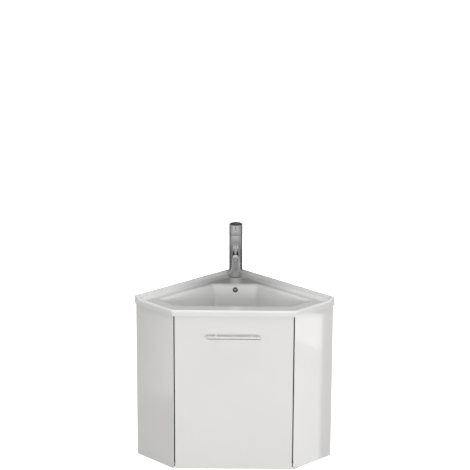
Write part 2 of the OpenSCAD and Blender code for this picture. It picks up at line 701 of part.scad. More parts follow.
// The pipe has a shallow groove where it enters the wall, which marks how far it goes in.
module trap_outlet_pipe() color("whitesmoke") outlet_axis() difference() {
  translate([0, 0, head_r + 4]) ring(pipe_r, pipe_r - pipe_t, wall_run + pipe_out - head_r - 4);
  translate([0, 0, wall_run]) ring(pipe_r + 1, pipe_r - groove_d, groove_w);
}
rosette_h = 9;
module wall_rosette() color("gainsboro") outlet_axis() translate([0, 0, wall_run - rosette_h]) difference() {
  rotate_extrude() polygon([
    [pipe_r + gap, 0], [pipe_r + 5, 0], [pipe_r + 9, 3], [pipe_r + 17, rosette_h - 1], [pipe_r + 17, rosette_h], [pipe_r + gap, rosette_h]
  ]);
  translate([0, 0, 3]) rotate_extrude() polygon([
    [pipe_r + 3, 0], [pipe_r + 7, 2], [pipe_r + 14, rosette_h - 3.5], [pipe_r + 14, rosette_h], [pipe_r + 3, rosette_h]
  ]);
}

/* ---- Tap ---- */
base_seal_t = 1.5;
tap_z = deck_z + base_seal_t;
tap_top_z = deck_z + tap_h;
pocket_r = 18;
pocket_d = 46;
shank_r = tap_hole_r - 1;
shank_low_z = cab_h - 34;
waterway_r = 5;
inlet_x = 7.5;
inlet_l = 14;
module at_tap(z) in_room() translate([0, -tap_back, z]) children();

module tap_base_seal() color("dimgray") at_tap(deck_z) ring(tap_r - 1, 6, base_seal_t);
// The turned body: a foot ring, the straight barrel, and the pocket that takes the cartridge.
module tap_body() color("silver") at_tap(tap_z) difference() {
  body_h = tap_top_z - tap_z;
  rotate_extrude() polygon([
    [0, 0], [tap_r, 0], [tap_r, 4], [tap_r - 0.6, 5], [tap_r - 0.6, 6], [tap_r, 7],
    [tap_r, body_h - 0.8], [tap_r - 0.8, body_h], [0, body_h]
  ]);
  translate([0, 0, body_h - pocket_d]) cylinder(r = pocket_r, h = pocket_d + 1);
  for (x = [-inlet_x, inlet_x]) translate([x, 0, -1]) cylinder(r = waterway_r - 1, h = body_h - pocket_d + 2);
  translate([0, 0, spout_z - base_seal_t]) rotate([90, 0, 0]) cylinder(r = spout_r + run_fit, h = tap_r + 1);
}
module spout_axis() at_tap(deck_z + spout_z) rotate([90, 0, 0]) children();
aerator_r = spout_r - 2.2;
aerator_in = 13;
aerator_low = 3;
module tap_spout() color("silver") difference() {
  spout_axis() translate([0, 0, 6]) rotate_extrude() {
    edge = 1.2;
    run = spout_reach - 6;
    square([spout_r, run - edge]);
    square([spout_r - edge, run]);
    translate([spout_r - edge, run - edge]) circle(r = edge);
  }
  spout_axis() cylinder(r = waterway_r + 1, h = spout_reach - aerator_in);
  at_tap(deck_z + spout_z) translate([0, aerator_in - spout_reach, -spout_r - 1])
    cylinder(r = aerator_r + run_fit, h = spout_r + 1);
}
module tap_aerator() color("silver") at_tap(deck_z + spout_z)
  translate([0, aerator_in - spout_reach, -spout_r - aerator_low]) difference() {
    cylinder(r = aerator_r, h = spout_r + aerator_low - 1);
    translate([0, 0, -1]) cylinder(r = aerator_r - 1.5, h = 4);
    for (a = [0, 60, 120]) rotate([0, 0, a]) translate([-0.8, -5, 2]) cube([1.6, 10, 3]);
    cylinder(r = 2.5, h = spout_r + aerator_low);
  }

// The threaded shank under the deck, with the two sockets for the hoses.
module tap_shank() color("tan") at_tap(shank_low_z) difference() {
  cylinder(r = shank_r, h = deck_z - shank_low_z);
  for (x = [-inlet_x, inlet_x]) translate([x, 0, -1]) cylinder(r = inlet_r, h = inlet_l + 1);
  for (x = [-inlet_x, inlet_x]) translate([x, 0, 1]) cylinder(r = waterway_r - 1, h = deck_z - shank_low_z);
}
washer_t = 4;
module tap_washer() color("dimgray") at_tap(cab_h + recess_d - washer_t) ring(22, shank_r + run_fit, washer_t);
module tap_nut() color("tan") at_tap(cab_h + recess_d - washer_t - 9) hex_nut(22, shank_r + run_fit, 9);

cartridge_low_z = tap_top_z - pocket_d;
pivot_up = 4;
pivot_z = tap_top_z + pivot_up;
dome_r = 19;
dome_low = 3;
dome_high = 13;
module tap_cartridge() color("ivory") at_tap(cartridge_low_z) {
  difference() {
    cylinder(r = pocket_r - run_fit, h = pocket_d - dome_low - gap);
    for (x = [-inlet_x, inlet_x]) translate([x, 0, -1]) cylinder(r = waterway_r - 1, h = 8);
    translate([0, 0, pocket_d - dome_low - gap - 12]) cylinder(r = 9, h = 13);
  }
}
stem_half = 3.5;
slot_w = 2 * stem_half + 2 * gap;
dome_pin_r = 1.5;
// The turning dome: it carries the lever's pivot pin and closes the gap under the cap.
module cartridge_dome() color("silver") at_tap(pivot_z) difference() {
  intersection() {
    sphere(r = dome_r);
    translate([-dome_r, -dome_r, -pivot_up - dome_low]) cube([2 * dome_r, 2 * dome_r, pivot_up + dome_low + dome_high]);
    union() {
      cylinder(r = dome_r, h = dome_high);
      translate([0, 0, -pivot_up - dome_low]) cylinder(r = pocket_r - gap, h = pivot_up + dome_low);
    }
  }
  slot_front = stem_half + 2.2;
  slot_rear = stem_half + 2 + dome_high * tan(lift);
  translate([-slot_w / 2, -slot_front, -12]) cube([slot_w, slot_front + slot_rear, dome_high + 20]);
  translate([-14, 0, 0]) rotate([0, 90, 0]) cylinder(r = dome_pin_r + run_fit, h = 28);
}
module dome_pin() color("gray") at_tap(pivot_z) translate([-14, 0, 0]) rotate([0, 90, 0]) cylinder(r = dome_pin_r, h = 28);

cap_r = tap_r + 0.25;
cap_low = pivot_up - 0.6;
cap_top = cap_h - pivot_up;
cap_hollow_r = dome_r + 0.7;
stem_top = cap_top - 12;
cap_roof = dome_r + 1;
module lever_stem() color("gray") at_tap(pivot_z) difference() {
  translate([-stem_half, -stem_half, -5]) cube([2 * stem_half, 2 * stem_half, 5 + stem_top + 6]);
  translate([-stem_half - 1, 0, 0]) rotate([0, 90, 0]) cylinder(r = dome_pin_r + run_fit, h = 2 * stem_half + 2);
}
rod_z = 21 - pivot_up;
rod_in = 3;
module rod_axis() translate([0, -cap_r, rod_z]) rotate([90 - lever_slope, 0, 0]) children();
module lever_cap() color("silver") at_tap(pivot_z) difference() {
  translate([0, 0, -cap_low]) soft_disc(cap_r, cap_top + cap_low, 2.5);
  translate([0, 0, -cap_low - 1]) cylinder(r = cap_hollow_r, h = cap_low + 1 + cap_roof);
  translate([-stem_half - run_fit, -stem_half - run_fit, 0])
    cube([2 * (stem_half + run_fit), 2 * (stem_half + run_fit), stem_top + 6 + gap]);
  rotate([lift, 0, 0]) translate([-big / 2, -big / 2, -cap_low - big]) cube([big, big, big]);
  rod_axis() translate([0, 0, -rod_in]) cylinder(r = lever_r + run_fit, h = rod_in + 10);
  translate([0, 0, stem_top + 2]) rotate([-90, 0, 0]) cylinder(r = 2.5, h = cap_r + 1);
}
module lever_rod() color("silver") at_tap(pivot_z) rod_axis() translate([0, 0, -rod_in]) rotate_extrude() {
  square([lever_r, rod_in + lever_l - 1]);
  square([lever_r - 1, rod_in + lever_l]);
  translate([lever_r - 1, rod_in + lever_l - 1]) circle(r = 1);
}
// The little cover over the screw at the back of the cap.
module lever_plug() color("gray") at_tap(pivot_z) translate([0, stem_half + 2, stem_top + 2]) rotate([-90, 0, 0])
  cylinder(r = 2.5 - run_fit, h = cap_r - stem_half - 2.6);

side_panel_left();
side_panel_right();
bottom_panel();
hanging_rail_left();
hanging_rail_right();
foot_rail_left();
foot_rail_right();
front_rail();
shelf();
shelf_pins();
door_bumpers();
door_seals();
door_panel();
hinge_cups();
cup_screws();
hinge_pins();
hinge_arms();
hinge_plates();
hinge_screws();
handle_bar();
handle_posts();
handle_screws();
basin();
overflow_ring();
waste_body();
waste_gasket();
waste_nut();
waste_plug();
plug_seal();
trap_inlet_nut();
trap_dip_tube();
trap_head_nut();
trap_head();
trap_cup();
trap_outlet_nut();
trap_outlet_pipe();
wall_rosette();
tap_base_seal();
tap_body();
tap_spout();
tap_aerator();
tap_shank();
tap_washer();
tap_nut();
tap_cartridge();
cartridge_dome();
dome_pin();
lever_stem();
lever_cap();
lever_rod();
lever_plug();
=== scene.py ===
import json
import bpy
import bmesh
from math import radians, sin, cos, tan, atan2, pi, sqrt
from mathutils import Vector, Matrix


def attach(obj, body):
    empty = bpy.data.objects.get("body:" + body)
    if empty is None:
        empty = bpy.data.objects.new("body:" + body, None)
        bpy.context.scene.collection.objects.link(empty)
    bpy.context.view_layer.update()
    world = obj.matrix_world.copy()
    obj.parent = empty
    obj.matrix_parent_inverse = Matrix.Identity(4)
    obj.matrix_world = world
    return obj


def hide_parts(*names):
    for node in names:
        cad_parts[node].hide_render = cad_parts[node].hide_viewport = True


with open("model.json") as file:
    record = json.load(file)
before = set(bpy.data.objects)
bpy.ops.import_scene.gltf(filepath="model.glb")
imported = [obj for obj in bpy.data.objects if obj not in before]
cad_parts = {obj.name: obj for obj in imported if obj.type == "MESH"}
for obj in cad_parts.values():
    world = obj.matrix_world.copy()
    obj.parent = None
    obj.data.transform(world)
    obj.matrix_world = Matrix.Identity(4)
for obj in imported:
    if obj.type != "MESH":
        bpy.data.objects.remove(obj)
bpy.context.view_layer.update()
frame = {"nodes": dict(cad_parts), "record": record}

mm = 0.001
cornerY = 0.264073          # the room corner's place on Y; the walls run from it at 45 degrees
scene = bpy.context.scene
nodes = frame["nodes"]
slotOf = {part["node"]: part["material_slot"] for part in frame["record"]["subparts"]}

# The camera that took the photo, found from the unit's corners.
photoCamera = {
    "place": (0.0735, -6.360, 2.617),
    "down": 15.86, "turn": 0.67, "roll": 0.25,      # degrees
    "focalPixels": 1839.8, "imagePixels": 470, "sensor": 36,
}

cameraData = bpy.data.cameras.new("photoCamera")
cameraData.sensor_width = photoCamera["sensor"]
cameraData.lens = photoCamera["focalPixels"] / photoCamera["imagePixels"] * photoCamera["sensor"]
cameraData.clip_end = 200
camera = bpy.data.objects.new("photoCamera", cameraData)
scene.collection.objects.link(camera)
camera.matrix_world = (Matrix.Translation(photoCamera["place"])
                       @ Matrix.Rotation(radians(photoCamera["turn"]), 4, "Z")
                       @ Matrix.Rotation(radians(90 - photoCamera["down"]), 4, "X")
                       @ Matrix.Rotation(radians(photoCamera["roll"]), 4, "Z"))
scene.camera = camera
scene.view_settings.view_transform = "Standard"
scene.view_settings.look = "None"


# Shader helpers: each adds a node and gives back its result.
def shaderTree(name):
    material = bpy.data.materials.new(name)
    material.use_nodes = True
    material.node_tree.nodes.clear()
    return material, material.node_tree


def feed(tree, socket, value):
    # a link from another node, or a plain value
    if isinstance(value, bpy.types.NodeSocket):
        tree.links.new(value, socket)
    else:
        socket.default_value = value


def addNode(tree, kind, settings=None, **inputs):
    # an input is given by its name, or by i and its number
    node = tree.nodes.new("ShaderNode" + kind)
    for key, value in (settings or {}).items():
        setattr(node, key, value)
    for key, value in inputs.items():
        byNumber = key[0] == "i" and key[1:].isdigit()
        feed(tree, node.inputs[int(key[1:]) if byNumber else key.replace("_", " ")], value)
    return node


def maths(tree, operation, a, b=0.0, clamp=False):
    return addNode(tree, "Math", {"operation": operation, "use_clamp": clamp}, i0=a, i1=b).outputs[0]


def noise(tree, vector, scale, detail=3.0, roughness=0.5):
    node = addNode(tree, "TexNoise", Vector=vector, Scale=scale, Detail=detail, Roughness=roughness)
    return node.outputs["Fac"]


def mapTo(tree, value, fromLow, fromHigh, toLow=0.0, toHigh=1.0, smooth=False):
    kind = {"interpolation_type": "SMOOTHSTEP" if smooth else "LINEAR"}
    node = addNode(tree, "MapRange", kind, Value=value, From_Min=fromLow, From_Max=fromHigh)
    feed(tree, node.inputs["To Min"], toLow)
    feed(tree, node.inputs["To Max"], toHigh)
    return node.outputs[0]


def mixColours(tree, factor, a, b, blend="MIX"):
    return addNode(tree, "Mix", {"data_type": "RGBA", "blend_type": blend}, i0=factor, i6=a, i7=b).outputs[2]


def tone(value):
    return (value, value, value, 1)


studio = {
    "floorWhite": 0.80, "floorBounce": 0.45, "floorGlow": 0.75, "paper": 1.05,
    # soft light on the unit by direction, and what its bright surfaces mirror
    "lightFront": 1.05, "lightSide": 0.13, "lightBack": 0.36, "lightHigh": 0.48, "lightAbove": 3.0,
    "highFrom": (0.25, 0.60), "aboveFrom": (0.84, 0.95),
    "mirrorFront": 0.90, "mirrorSide": 0.36, "mirrorBack": 0.03, "mirrorAbove": 0.80, "mirrorFrom": (0.35, 0.9),
    "floorFront": 0.34, "floorSide": 0.22, "floorBack": 0.04,
    "farFront": 0.78, "farSide": 0.50, "farBack": 0.04, "farFrom": (2.44, 2.56),
    # bright windows that lie on the floor for what mirrors it:
    # from and to in metres, lean of the ends and of the sides, soft edge, strength
    "windows": (((0.24, -0.6), (2.00, -0.143), 0, 0.04, 0.02, 1.65),
                ((1.39, -0.5), (1.90, -0.143), -1.3, 0.04, 0.02, 0.8),
                ((-2.00, -0.6), (-0.95, -0.15), 0, -0.04, 0.20, 0.8)),
    "key": {"place": (0.9, -4.6, 0.95), "aim": (0, -0.05, 0.35), "size": (2.2, 1.2), "power": 92},
    "card": {"size": 0.32, "place": (-0.01, 0.15, 0.835), "turn": 45, "grey": 0.25},
}


def byDirection(tree, vector, kind):
    # a grey that runs from the back over the sides to the front
    unit = addNode(tree, "VectorMath", {"operation": "NORMALIZE"}, i0=vector)
    split = addNode(tree, "SeparateXYZ", i0=unit.outputs[0])
    ramp = addNode(tree, "ValToRGB", Fac=mapTo(tree, split.outputs["Y"], 1, -1))
    ramp.color_ramp.interpolation = "EASE"
    ramp.color_ramp.elements[0].color = tone(studio[kind + "Back"])
    ramp.color_ramp.elements[1].color = tone(studio[kind + "Front"])
    ramp.color_ramp.elements.new(0.5).color = tone(studio[kind + "Side"])
    return split.outputs["Z"], ramp.outputs[0]


def shiftBy(tree, colour, value, between, target):
    # moves the grey towards another one as the value goes from low to high
    return mixColours(tree, mapTo(tree, value, *between, smooth=True), colour, target)


# The floor is a pale disc just under the unit. What the camera sees of it is lifted to the paper white of the photo,
# and what the bright surfaces mirror of it is darker towards the back.
floorMaterial, tree = shaderTree("paleFloor")
lightPath = addNode(tree, "LightPath")
diffuse = addNode(tree, "BsdfDiffuse", Color=tone(studio["floorWhite"]))
bounce = addNode(tree, "BsdfDiffuse", Color=tone(studio["floorBounce"]))
glow = addNode(tree, "Emission", Color=tone(1), Strength=studio["floorGlow"])
both = addNode(tree, "AddShader", i0=diffuse.outputs[0], i1=glow.outputs[0])
seen = addNode(tree, "MixShader", i0=lightPath.outputs["Is Camera Ray"], i1=bounce.outputs[0], i2=both.outputs[0])
where = addNode(tree, "TexCoord").outputs["Object"]
grey = byDirection(tree, where, "floor")[1]
away = addNode(tree, "VectorMath", {"operation": "LENGTH"}, i0=where).outputs["Value"]
grey = shiftBy(tree, grey, away, studio["farFrom"], byDirection(tree, where, "far")[1])
place = addNode(tree, "SeparateXYZ", i0=where).outputs
for low, high, endLean, sideLean, soft, strength in studio["windows"]:
    inside = 1.0
    across = maths(tree, "SUBTRACT", place["X"], maths(tree, "MULTIPLY", place["Y"], endLean))
    leaning = maths(tree, "SUBTRACT", place["Y"], maths(tree, "MULTIPLY", place["X"], sideLean))
    for along, start, end in ((across, low[0], high[0]), (leaning, low[1], high[1])):
        for edge, half in ((start, soft / 2), (end, -soft / 2)):
            inside = maths(tree, "MULTIPLY", inside, mapTo(tree, along, edge - half, edge + half, smooth=True))
    grey = mixColours(tree, inside, grey, tone(strength), "ADD")
mirrored = addNode(tree, "Emission", Color=grey, Strength=1.0)
last = addNode(tree, "MixShader", i0=lightPath.outputs["Is Glossy Ray"], i1=seen.outputs[0], i2=mirrored.outputs[0])
# seen from below, the floor is clear
backfacing = addNode(tree, "NewGeometry").outputs["Backfacing"]
clear = addNode(tree, "BsdfTransparent").outputs[0]
last = addNode(tree, "MixShader", i0=backfacing, i1=last.outputs[0], i2=clear)
addNode(tree, "OutputMaterial", Surface=last.outputs[0])

bpy.ops.object.select_all(action="DESELECT")
bpy.ops.mesh.primitive_circle_add(vertices=96, radius=40, fill_type="NGON", location=(0, 0, -0.0006))
floor = bpy.context.object
floor.name = "studioFloor"
floor.data.materials.append(floorMaterial)

# The world is white to the camera, and grey by direction to the light it gives and to what mirrors it.
world = bpy.data.worlds.new("studioWorld")
scene.world = world
world.use_nodes = True
tree = world.node_tree
tree.nodes.clear()
lightPath = addNode(tree, "LightPath")
where = addNode(tree, "TexCoord").outputs["Generated"]
up, grey = byDirection(tree, where, "light")
grey = shiftBy(tree, grey, up, studio["highFrom"], tone(studio["lightHigh"]))
grey = shiftBy(tree, grey, up, studio["aboveFrom"], tone(studio["lightAbove"]))
ambient = addNode(tree, "Background", Color=grey, Strength=1.0)
up, grey = byDirection(tree, where, "mirror")
grey = shiftBy(tree, grey, up, studio["mirrorFrom"], tone(studio["mirrorAbove"]))
mirrored = addNode(tree, "Background", Color=grey, Strength=1.0)
white = addNode(tree, "Background", Color=tone(1), Strength=studio["paper"])
first = addNode(tree, "MixShader", i0=lightPath.outputs["Is Glossy Ray"], i1=ambient.outputs[0], i2=mirrored.outputs[0])
last = addNode(tree, "MixShader", i0=lightPath.outputs["Is Camera Ray"], i1=first.outputs[0], i2=white.outputs[0])
addNode(tree, "OutputWorld", Surface=last.outputs[0])

# One large soft key light from the front right.
key = studio["key"]
keyData = bpy.data.lights.new("keyLight", "AREA")
keyData.shape = "RECTANGLE"
keyData.size, keyData.size_y = key["size"]
keyData.energy = key["power"]
keyLight = bpy.data.objects.new("keyLight", keyData)
scene.collection.objects.link(keyLight)
keyLight.location = key["place"]
keyLight.rotation_euler = (Vector(key["aim"]) - Vector(key["place"])).to_track_quat("-Z", "Y").to_euler()
keyLight.visible_camera = keyLight.visible_glossy = False

# A grey card over the tap keeps the top light off the deck there.
card = studio["card"]
bpy.ops.object.select_all(action="DESELECT")
bpy.ops.mesh.primitive_plane_add(size=card["size"], location=card["place"], rotation=(0, 0, radians(card["turn"])))
shade = bpy.context.object
shade.name = "shadeCard"
shadeMaterial, tree = shaderTree("greyCard")
addNode(tree, "OutputMaterial", Surface=addNode(tree, "BsdfDiffuse", Color=tone(card["grey"])).outputs[0])
shade.data.materials.append(shadeMaterial)
shade.visible_camera = False
print("camera, floor and lights are in place")


def newGroup(name, inputs, *outputs):
    # inputs are (label, starting value): a colour, a number, or a vector where it is None; outputs are (label, kind)
    tree = bpy.data.node_groups.new(name, "ShaderNodeTree")
    for label, value in inputs.items():
        kind = "Vector" if value is None else "Color" if isinstance(value, tuple) else "Float"
        socket = tree.interface.new_socket(name=label, in_out="INPUT", socket_type="NodeSocket" + kind)
        if value is not None:
            socket.default_value = value
    for label, kind in outputs:
        tree.interface.new_socket(name=label, in_out="OUTPUT", socket_type="NodeSocket" + kind)
    return tree, tree.nodes.new("NodeGroupInput").outputs, tree.nodes.new("NodeGroupOutput").inputs


def useGroup(tree, group, **inputs):
    node = tree.nodes.new("ShaderNodeGroup")
    node.node_tree = group
    for key, value in inputs.items():
        feed(tree, node.inputs[key], value)
    return node.outputs


# A slow drift of tone over a surface, as no coat or glaze is quite even.
toneDrift, given, result = newGroup("toneDrift", {"Colour": (0.8, 0.8, 0.8, 1), "Second": (0.75, 0.75, 0.74, 1),
                                                  "Vector": None, "Size": 6.0, "Amount": 0.5}, ("Colour", "Color"))
cloud = mapTo(toneDrift, noise(toneDrift, given["Vector"], given["Size"], 4.0, 0.55), 0.35, 0.65)
share = maths(toneDrift, "MULTIPLY", cloud, given["Amount"], True)
feed(toneDrift, result["Colour"], mixColours(toneDrift, share, given["Colour"], given["Second"]))

# Roughness with faint wipe marks.
wipeMarks, given, result = newGroup("wipeMarks", {"Vector": None, "Low": 0.1, "High": 0.2, "Size": 30.0}, ("Roughness",
        "Float"))
stretch = addNode(wipeMarks, "Mapping", Vector=given["Vector"], Scale=(1.0, 1.0, 0.35), Rotation=(0.3, 0.2, 0.6))
marks = noise(wipeMarks, stretch.outputs[0], given["Size"], 6.0, 0.65)
feed(wipeMarks, result["Roughness"], mapTo(wipeMarks, marks, 0.3, 0.7, given["Low"], given["High"]))

# The fine ripple of lacquer, glaze or a moulding, as a height.
fineRipple, given, result = newGroup("fineRipple", {"Vector": None, "Size": 300.0, "Coarse": 20.0, "Share": 0.3},
                                     ("Height", "Float"))
fine = noise(fineRipple, given["Vector"], given["Size"], 2.0, 0.5)
coarse = noise(fineRipple, given["Vector"], given["Coarse"], 2.0, 0.4)
blended = addNode(fineRipple, "Mix", {"data_type": "FLOAT"}, i0=given["Share"], i2=fine, i3=coarse)
feed(fineRipple, result["Height"], blended.outputs[0])

# Brushed lines: the caller's vector is stretched along them.
brushedLines, given, result = newGroup("brushedLines", {"Vector": None, "Lines": 900.0, "Low": 0.2, "High": 0.35},
                                       ("Height", "Float"), ("Roughness", "Float"))
lines = noise(brushedLines, given["Vector"], given["Lines"], 3.0, 0.7)
feed(brushedLines, result["Height"], lines)
feed(brushedLines, result["Roughness"], mapTo(brushedLines, lines, 0.25, 0.75, given["Low"], given["High"]))

# A mask of the edges, where a coat thins or metal is rubbed bright.
edgeMask, given, result = newGroup("edgeMask", {"Radius": 0.001, "Strength": 1.0}, ("Mask", "Float"))
rounded = addNode(edgeMask, "Bevel", {"samples": 4}, Radius=given["Radius"]).outputs[0]
flat = addNode(edgeMask, "NewGeometry").outputs["Normal"]
alike = addNode(edgeMask, "VectorMath", {"operation": "DOT_PRODUCT"}, i0=rounded, i1=flat).outputs["Value"]
bend = maths(edgeMask, "SUBTRACT", 1.0, alike, True)
feed(edgeMask, result["Mask"], maths(edgeMask, "MULTIPLY", bend, given["Strength"], True))

# Fine dust that settles on what faces up.
dustFilm, given, result = newGroup("dustFilm", {"Vector": None, "Amount": 0.2, "Size": 40.0}, ("Mask", "Float"))
flat = addNode(dustFilm, "NewGeometry").outputs["Normal"]
level = mapTo(dustFilm, addNode(dustFilm, "SeparateXYZ", i0=flat).outputs["Z"], 0.5, 1.0)
patch = mapTo(dustFilm, noise(dustFilm, given["Vector"], given["Size"], 5.0, 0.6), 0.35, 0.75, 0.2, 1.0)
dust = maths(dustFilm, "MULTIPLY", level, patch)
feed(dustFilm, result["Mask"], maths(dustFilm, "MULTIPLY", dust, given["Amount"], True))
print("shader groups are built")


def surface(tree, colour, roughness, normal, **fixed):
    # the shader itself; fixed values go straight onto its own sockets
    shader = addNode(tree, "BsdfPrincipled", Base_Color=colour, Roughness=roughness, Normal=normal, **fixed)
    addNode(tree, "OutputMaterial", Surface=shader.outputs[0])


def bump(tree, height, strength, distance, roundness=None):
    # a relief, on the piece's own normals or on normals rounded at the edges
    node = addNode(tree, "Bump", Height=height, Strength=strength, Distance=distance)
    if roundness:
        feed(tree, node.inputs["Normal"], addNode(tree, "Bevel", {"samples": 6}, Radius=roundness).outputs[0])
    return node.outputs[0]


def wornColour(tree, where, tones, size, amount, edge, wear):
    # a drifting tone, with the edges worn to a third one
    drift = useGroup(tree, toneDrift, Colour=tones[0], Second=tones[1], Vector=where, Size=size, Amount=amount)
    worn = useGroup(tree, edgeMask, Radius=edge, Strength=wear)
    return mixColours(tree, worn["Mask"], drift["Colour"], tones[2])


def dusted(tree, where, colour, amount, size, dust):
    return mixColours(tree, useGroup(tree, dustFilm, Vector=where, Amount=amount, Size=size)["Mask"], colour, dust)


def boardFinish(name, look):
    # a faced board: gloss or satin face, edge band a touch different, soft drift of tone, thin coat at the edges
    material, tree = shaderTree(name)
    where = addNode(tree, "TexCoord").outputs["Object"]
    colour = wornColour(tree, where, look["tones"], look["driftSize"], look["drift"], 0.0009, look["edgeWear"])
    colour = dusted(tree, where, colour, look["dust"], 25.0, (0.60, 0.58, 0.54, 1))
    rough = useGroup(tree, wipeMarks, Vector=where, Low=look["gloss"][0], High=look["gloss"][1], Size=14.0)
    ripple = useGroup(tree, fineRipple, Vector=where, Size=look["rippleSize"], Coarse=look["waveSize"], Share=0.55)
    normal = bump(tree, ripple["Height"], look["ripple"], 0.001)
    surface(tree, colour, rough["Roughness"], normal, Coat_Weight=look["coat"], Coat_Roughness=0.025, Specular_IOR_Level=0.5)
    return material


glossWhiteBoard = boardFinish("glossWhiteBoard", {
    "tones": ((0.735, 0.728, 0.715, 1), (0.715, 0.708, 0.694, 1), (0.70, 0.692, 0.675, 1)), "driftSize": 5.0, "drift": 0.6,
    "edgeWear": 1.2, "dust": 0.0, "gloss": (0.035, 0.07), "ripple": 0.006, "rippleSize": 260.0, "waveSize": 9.0,
    "coat": 0.6})
whiteBoard = boardFinish("whiteBoard", {
    "tones": ((0.71, 0.705, 0.69, 1), (0.68, 0.672, 0.655, 1), (0.66, 0.65, 0.63, 1)), "driftSize": 9.0, "drift": 0.7,
    "edgeWear": 1.5, "dust": 0.16, "gloss": (0.36, 0.5), "ripple": 0.10, "rippleSize": 900.0, "waveSize": 60.0, "coat": 0.0})

# Glazed mineral casting of the basin.
glazeLook = {"white": (0.73, 0.73, 0.715, 1), "deep": (0.70, 0.70, 0.682, 1), "film": (0.60, 0.595, 0.57, 1),
             "driftSize": 7.0, "drift": 0.7, "dust": 0.06, "dustSize": 18.0, "gloss": (0.10, 0.17), "wipeSize": 11.0}
basinGlaze, tree = shaderTree("basinGlaze")
where = addNode(tree, "TexCoord").outputs["Object"]
drift = useGroup(tree, toneDrift, Colour=glazeLook["white"], Second=glazeLook["deep"], Vector=where,
                 Size=glazeLook["driftSize"], Amount=glazeLook["drift"])
colour = dusted(tree, where, drift["Colour"], glazeLook["dust"], glazeLook["dustSize"], glazeLook["film"])
rough = useGroup(tree, wipeMarks, Vector=where, Low=glazeLook["gloss"][0], High=glazeLook["gloss"][1],
                 Size=glazeLook["wipeSize"])
ripple = useGroup(tree, fineRipple, Vector=where, Size=120.0, Coarse=14.0, Share=0.7)
surface(tree, colour, rough["Roughness"], bump(tree, ripple["Height"], 0.02, 0.001), Coat_Weight=0.5, Coat_Roughness=0.05)


def metalFinish(name, look):
    # bright or plated metal; a long thin scale on one axis gives brushed lines
    material, tree = shaderTree(name)
    where = addNode(tree, "TexCoord").outputs["Object"]
    along = addNode(tree, "Mapping", Vector=where, Scale=look["grain"]).outputs[0]
    lines = useGroup(tree, brushedLines, Vector=along, Lines=look["lines"], Low=look["gloss"][0], High=look["gloss"][1])
    colour = wornColour(tree, where, look["tones"], look["cloudSize"], look["drift"], 0.0005, look["edgeWear"])
    normal = bump(tree, lines["Height"], look["relief"], 0.0004, look["rounding"])
    surface(tree, colour, lines["Roughness"], normal, Metallic=look["metallic"])
    return material


chrome = metalFinish("chrome", {
    "metallic": 1.0, "tones": ((0.62, 0.62, 0.63, 1), (0.57, 0.575, 0.59, 1), (0.75, 0.75, 0.76, 1)), "cloudSize": 30.0,
    "drift": 0.5,
    "edgeWear": 0.8, "grain": (1, 1, 1), "lines": 45.0, "gloss": (0.05, 0.09), "relief": 0.002, "rounding": 0.0004})
handleSteel = metalFinish("handleSteel", {
    "metallic": 0.85, "tones": ((0.84, 0.835, 0.82, 1), (0.80, 0.795, 0.78, 1), (0.86, 0.85, 0.83, 1)), "cloudSize": 40.0,
    "drift": 0.4, "edgeWear": 0.5, "grain": (6, 260, 260), "lines": 9.0, "gloss": (0.22, 0.30), "relief": 0.02,
    "rounding": 0.0002})
zincSteel = metalFinish("zincSteel", {
    "metallic": 1.0, "tones": ((0.55, 0.56, 0.58, 1), (0.45, 0.46, 0.47, 1), (0.68, 0.69, 0.71, 1)), "cloudSize": 220.0,
    "drift": 0.8,
    "edgeWear": 1.2, "grain": (1, 1, 1), "lines": 420.0, "gloss": (0.28, 0.46), "relief": 0.12, "rounding": 0.0003})
brass = metalFinish("brass", {
    "metallic": 1.0, "tones": ((0.60, 0.42, 0.17, 1), (0.46, 0.31, 0.12, 1), (0.74, 0.55, 0.27, 1)), "cloudSize": 90.0,
    "drift": 0.8,
    "edgeWear": 1.2, "grain": (1, 1, 40), "lines": 60.0, "gloss": (0.26, 0.42), "relief": 0.15, "rounding": 0.0003})


def mouldedFinish(name, look):
    # rubber or a moulded plastic: fine grain, drift of tone, slightly paler edges, dust on top
    material, tree = shaderTree(name)
    where = addNode(tree, "TexCoord").outputs["Object"]
    colour = wornColour(tree, where, look["tones"], look["driftSize"], 0.8, 0.0006, look["edgeWear"])
    colour = dusted(tree, where, colour, look["dust"], 60.0, (0.50, 0.48, 0.44, 1))
    rough = useGroup(tree, wipeMarks, Vector=where, Low=look["gloss"][0], High=look["gloss"][1], Size=50.0)
    ripple = useGroup(tree, fineRipple, Vector=where, Size=look["grainSize"], Coarse=70.0, Share=0.3)
    surface(tree, colour, rough["Roughness"], bump(tree, ripple["Height"], look["grain"], 0.0005, 0.0005),
            Specular_IOR_Level=look["shine"])
    return material


blackRubber = mouldedFinish("blackRubber", {
    "tones": ((0.012, 0.012, 0.012, 1), (0.020, 0.020, 0.019, 1), (0.035, 0.034, 0.033, 1)), "driftSize": 60.0,
    "edgeWear": 0.8, "dust": 0.05, "gloss": (0.5, 0.7), "grainSize": 1400.0, "grain": 0.25, "shine": 0.4})
whitePlastic = mouldedFinish("whitePlastic", {
    "tones": ((0.69, 0.69, 0.67, 1), (0.64, 0.635, 0.61, 1), (0.76, 0.76, 0.74, 1)), "driftSize": 25.0,
    "edgeWear": 0.7, "dust": 0.15, "gloss": (0.24, 0.38), "grainSize": 700.0, "grain": 0.08, "shine": 0.5})
ivoryPlastic = mouldedFinish("ivoryPlastic", {
    "tones": ((0.66, 0.61, 0.48, 1), (0.60, 0.55, 0.42, 1), (0.74, 0.69, 0.56, 1)), "driftSize": 40.0,
    "edgeWear": 0.7, "dust": 0.05, "gloss": (0.3, 0.42), "grainSize": 800.0, "grain": 0.08, "shine": 0.5})

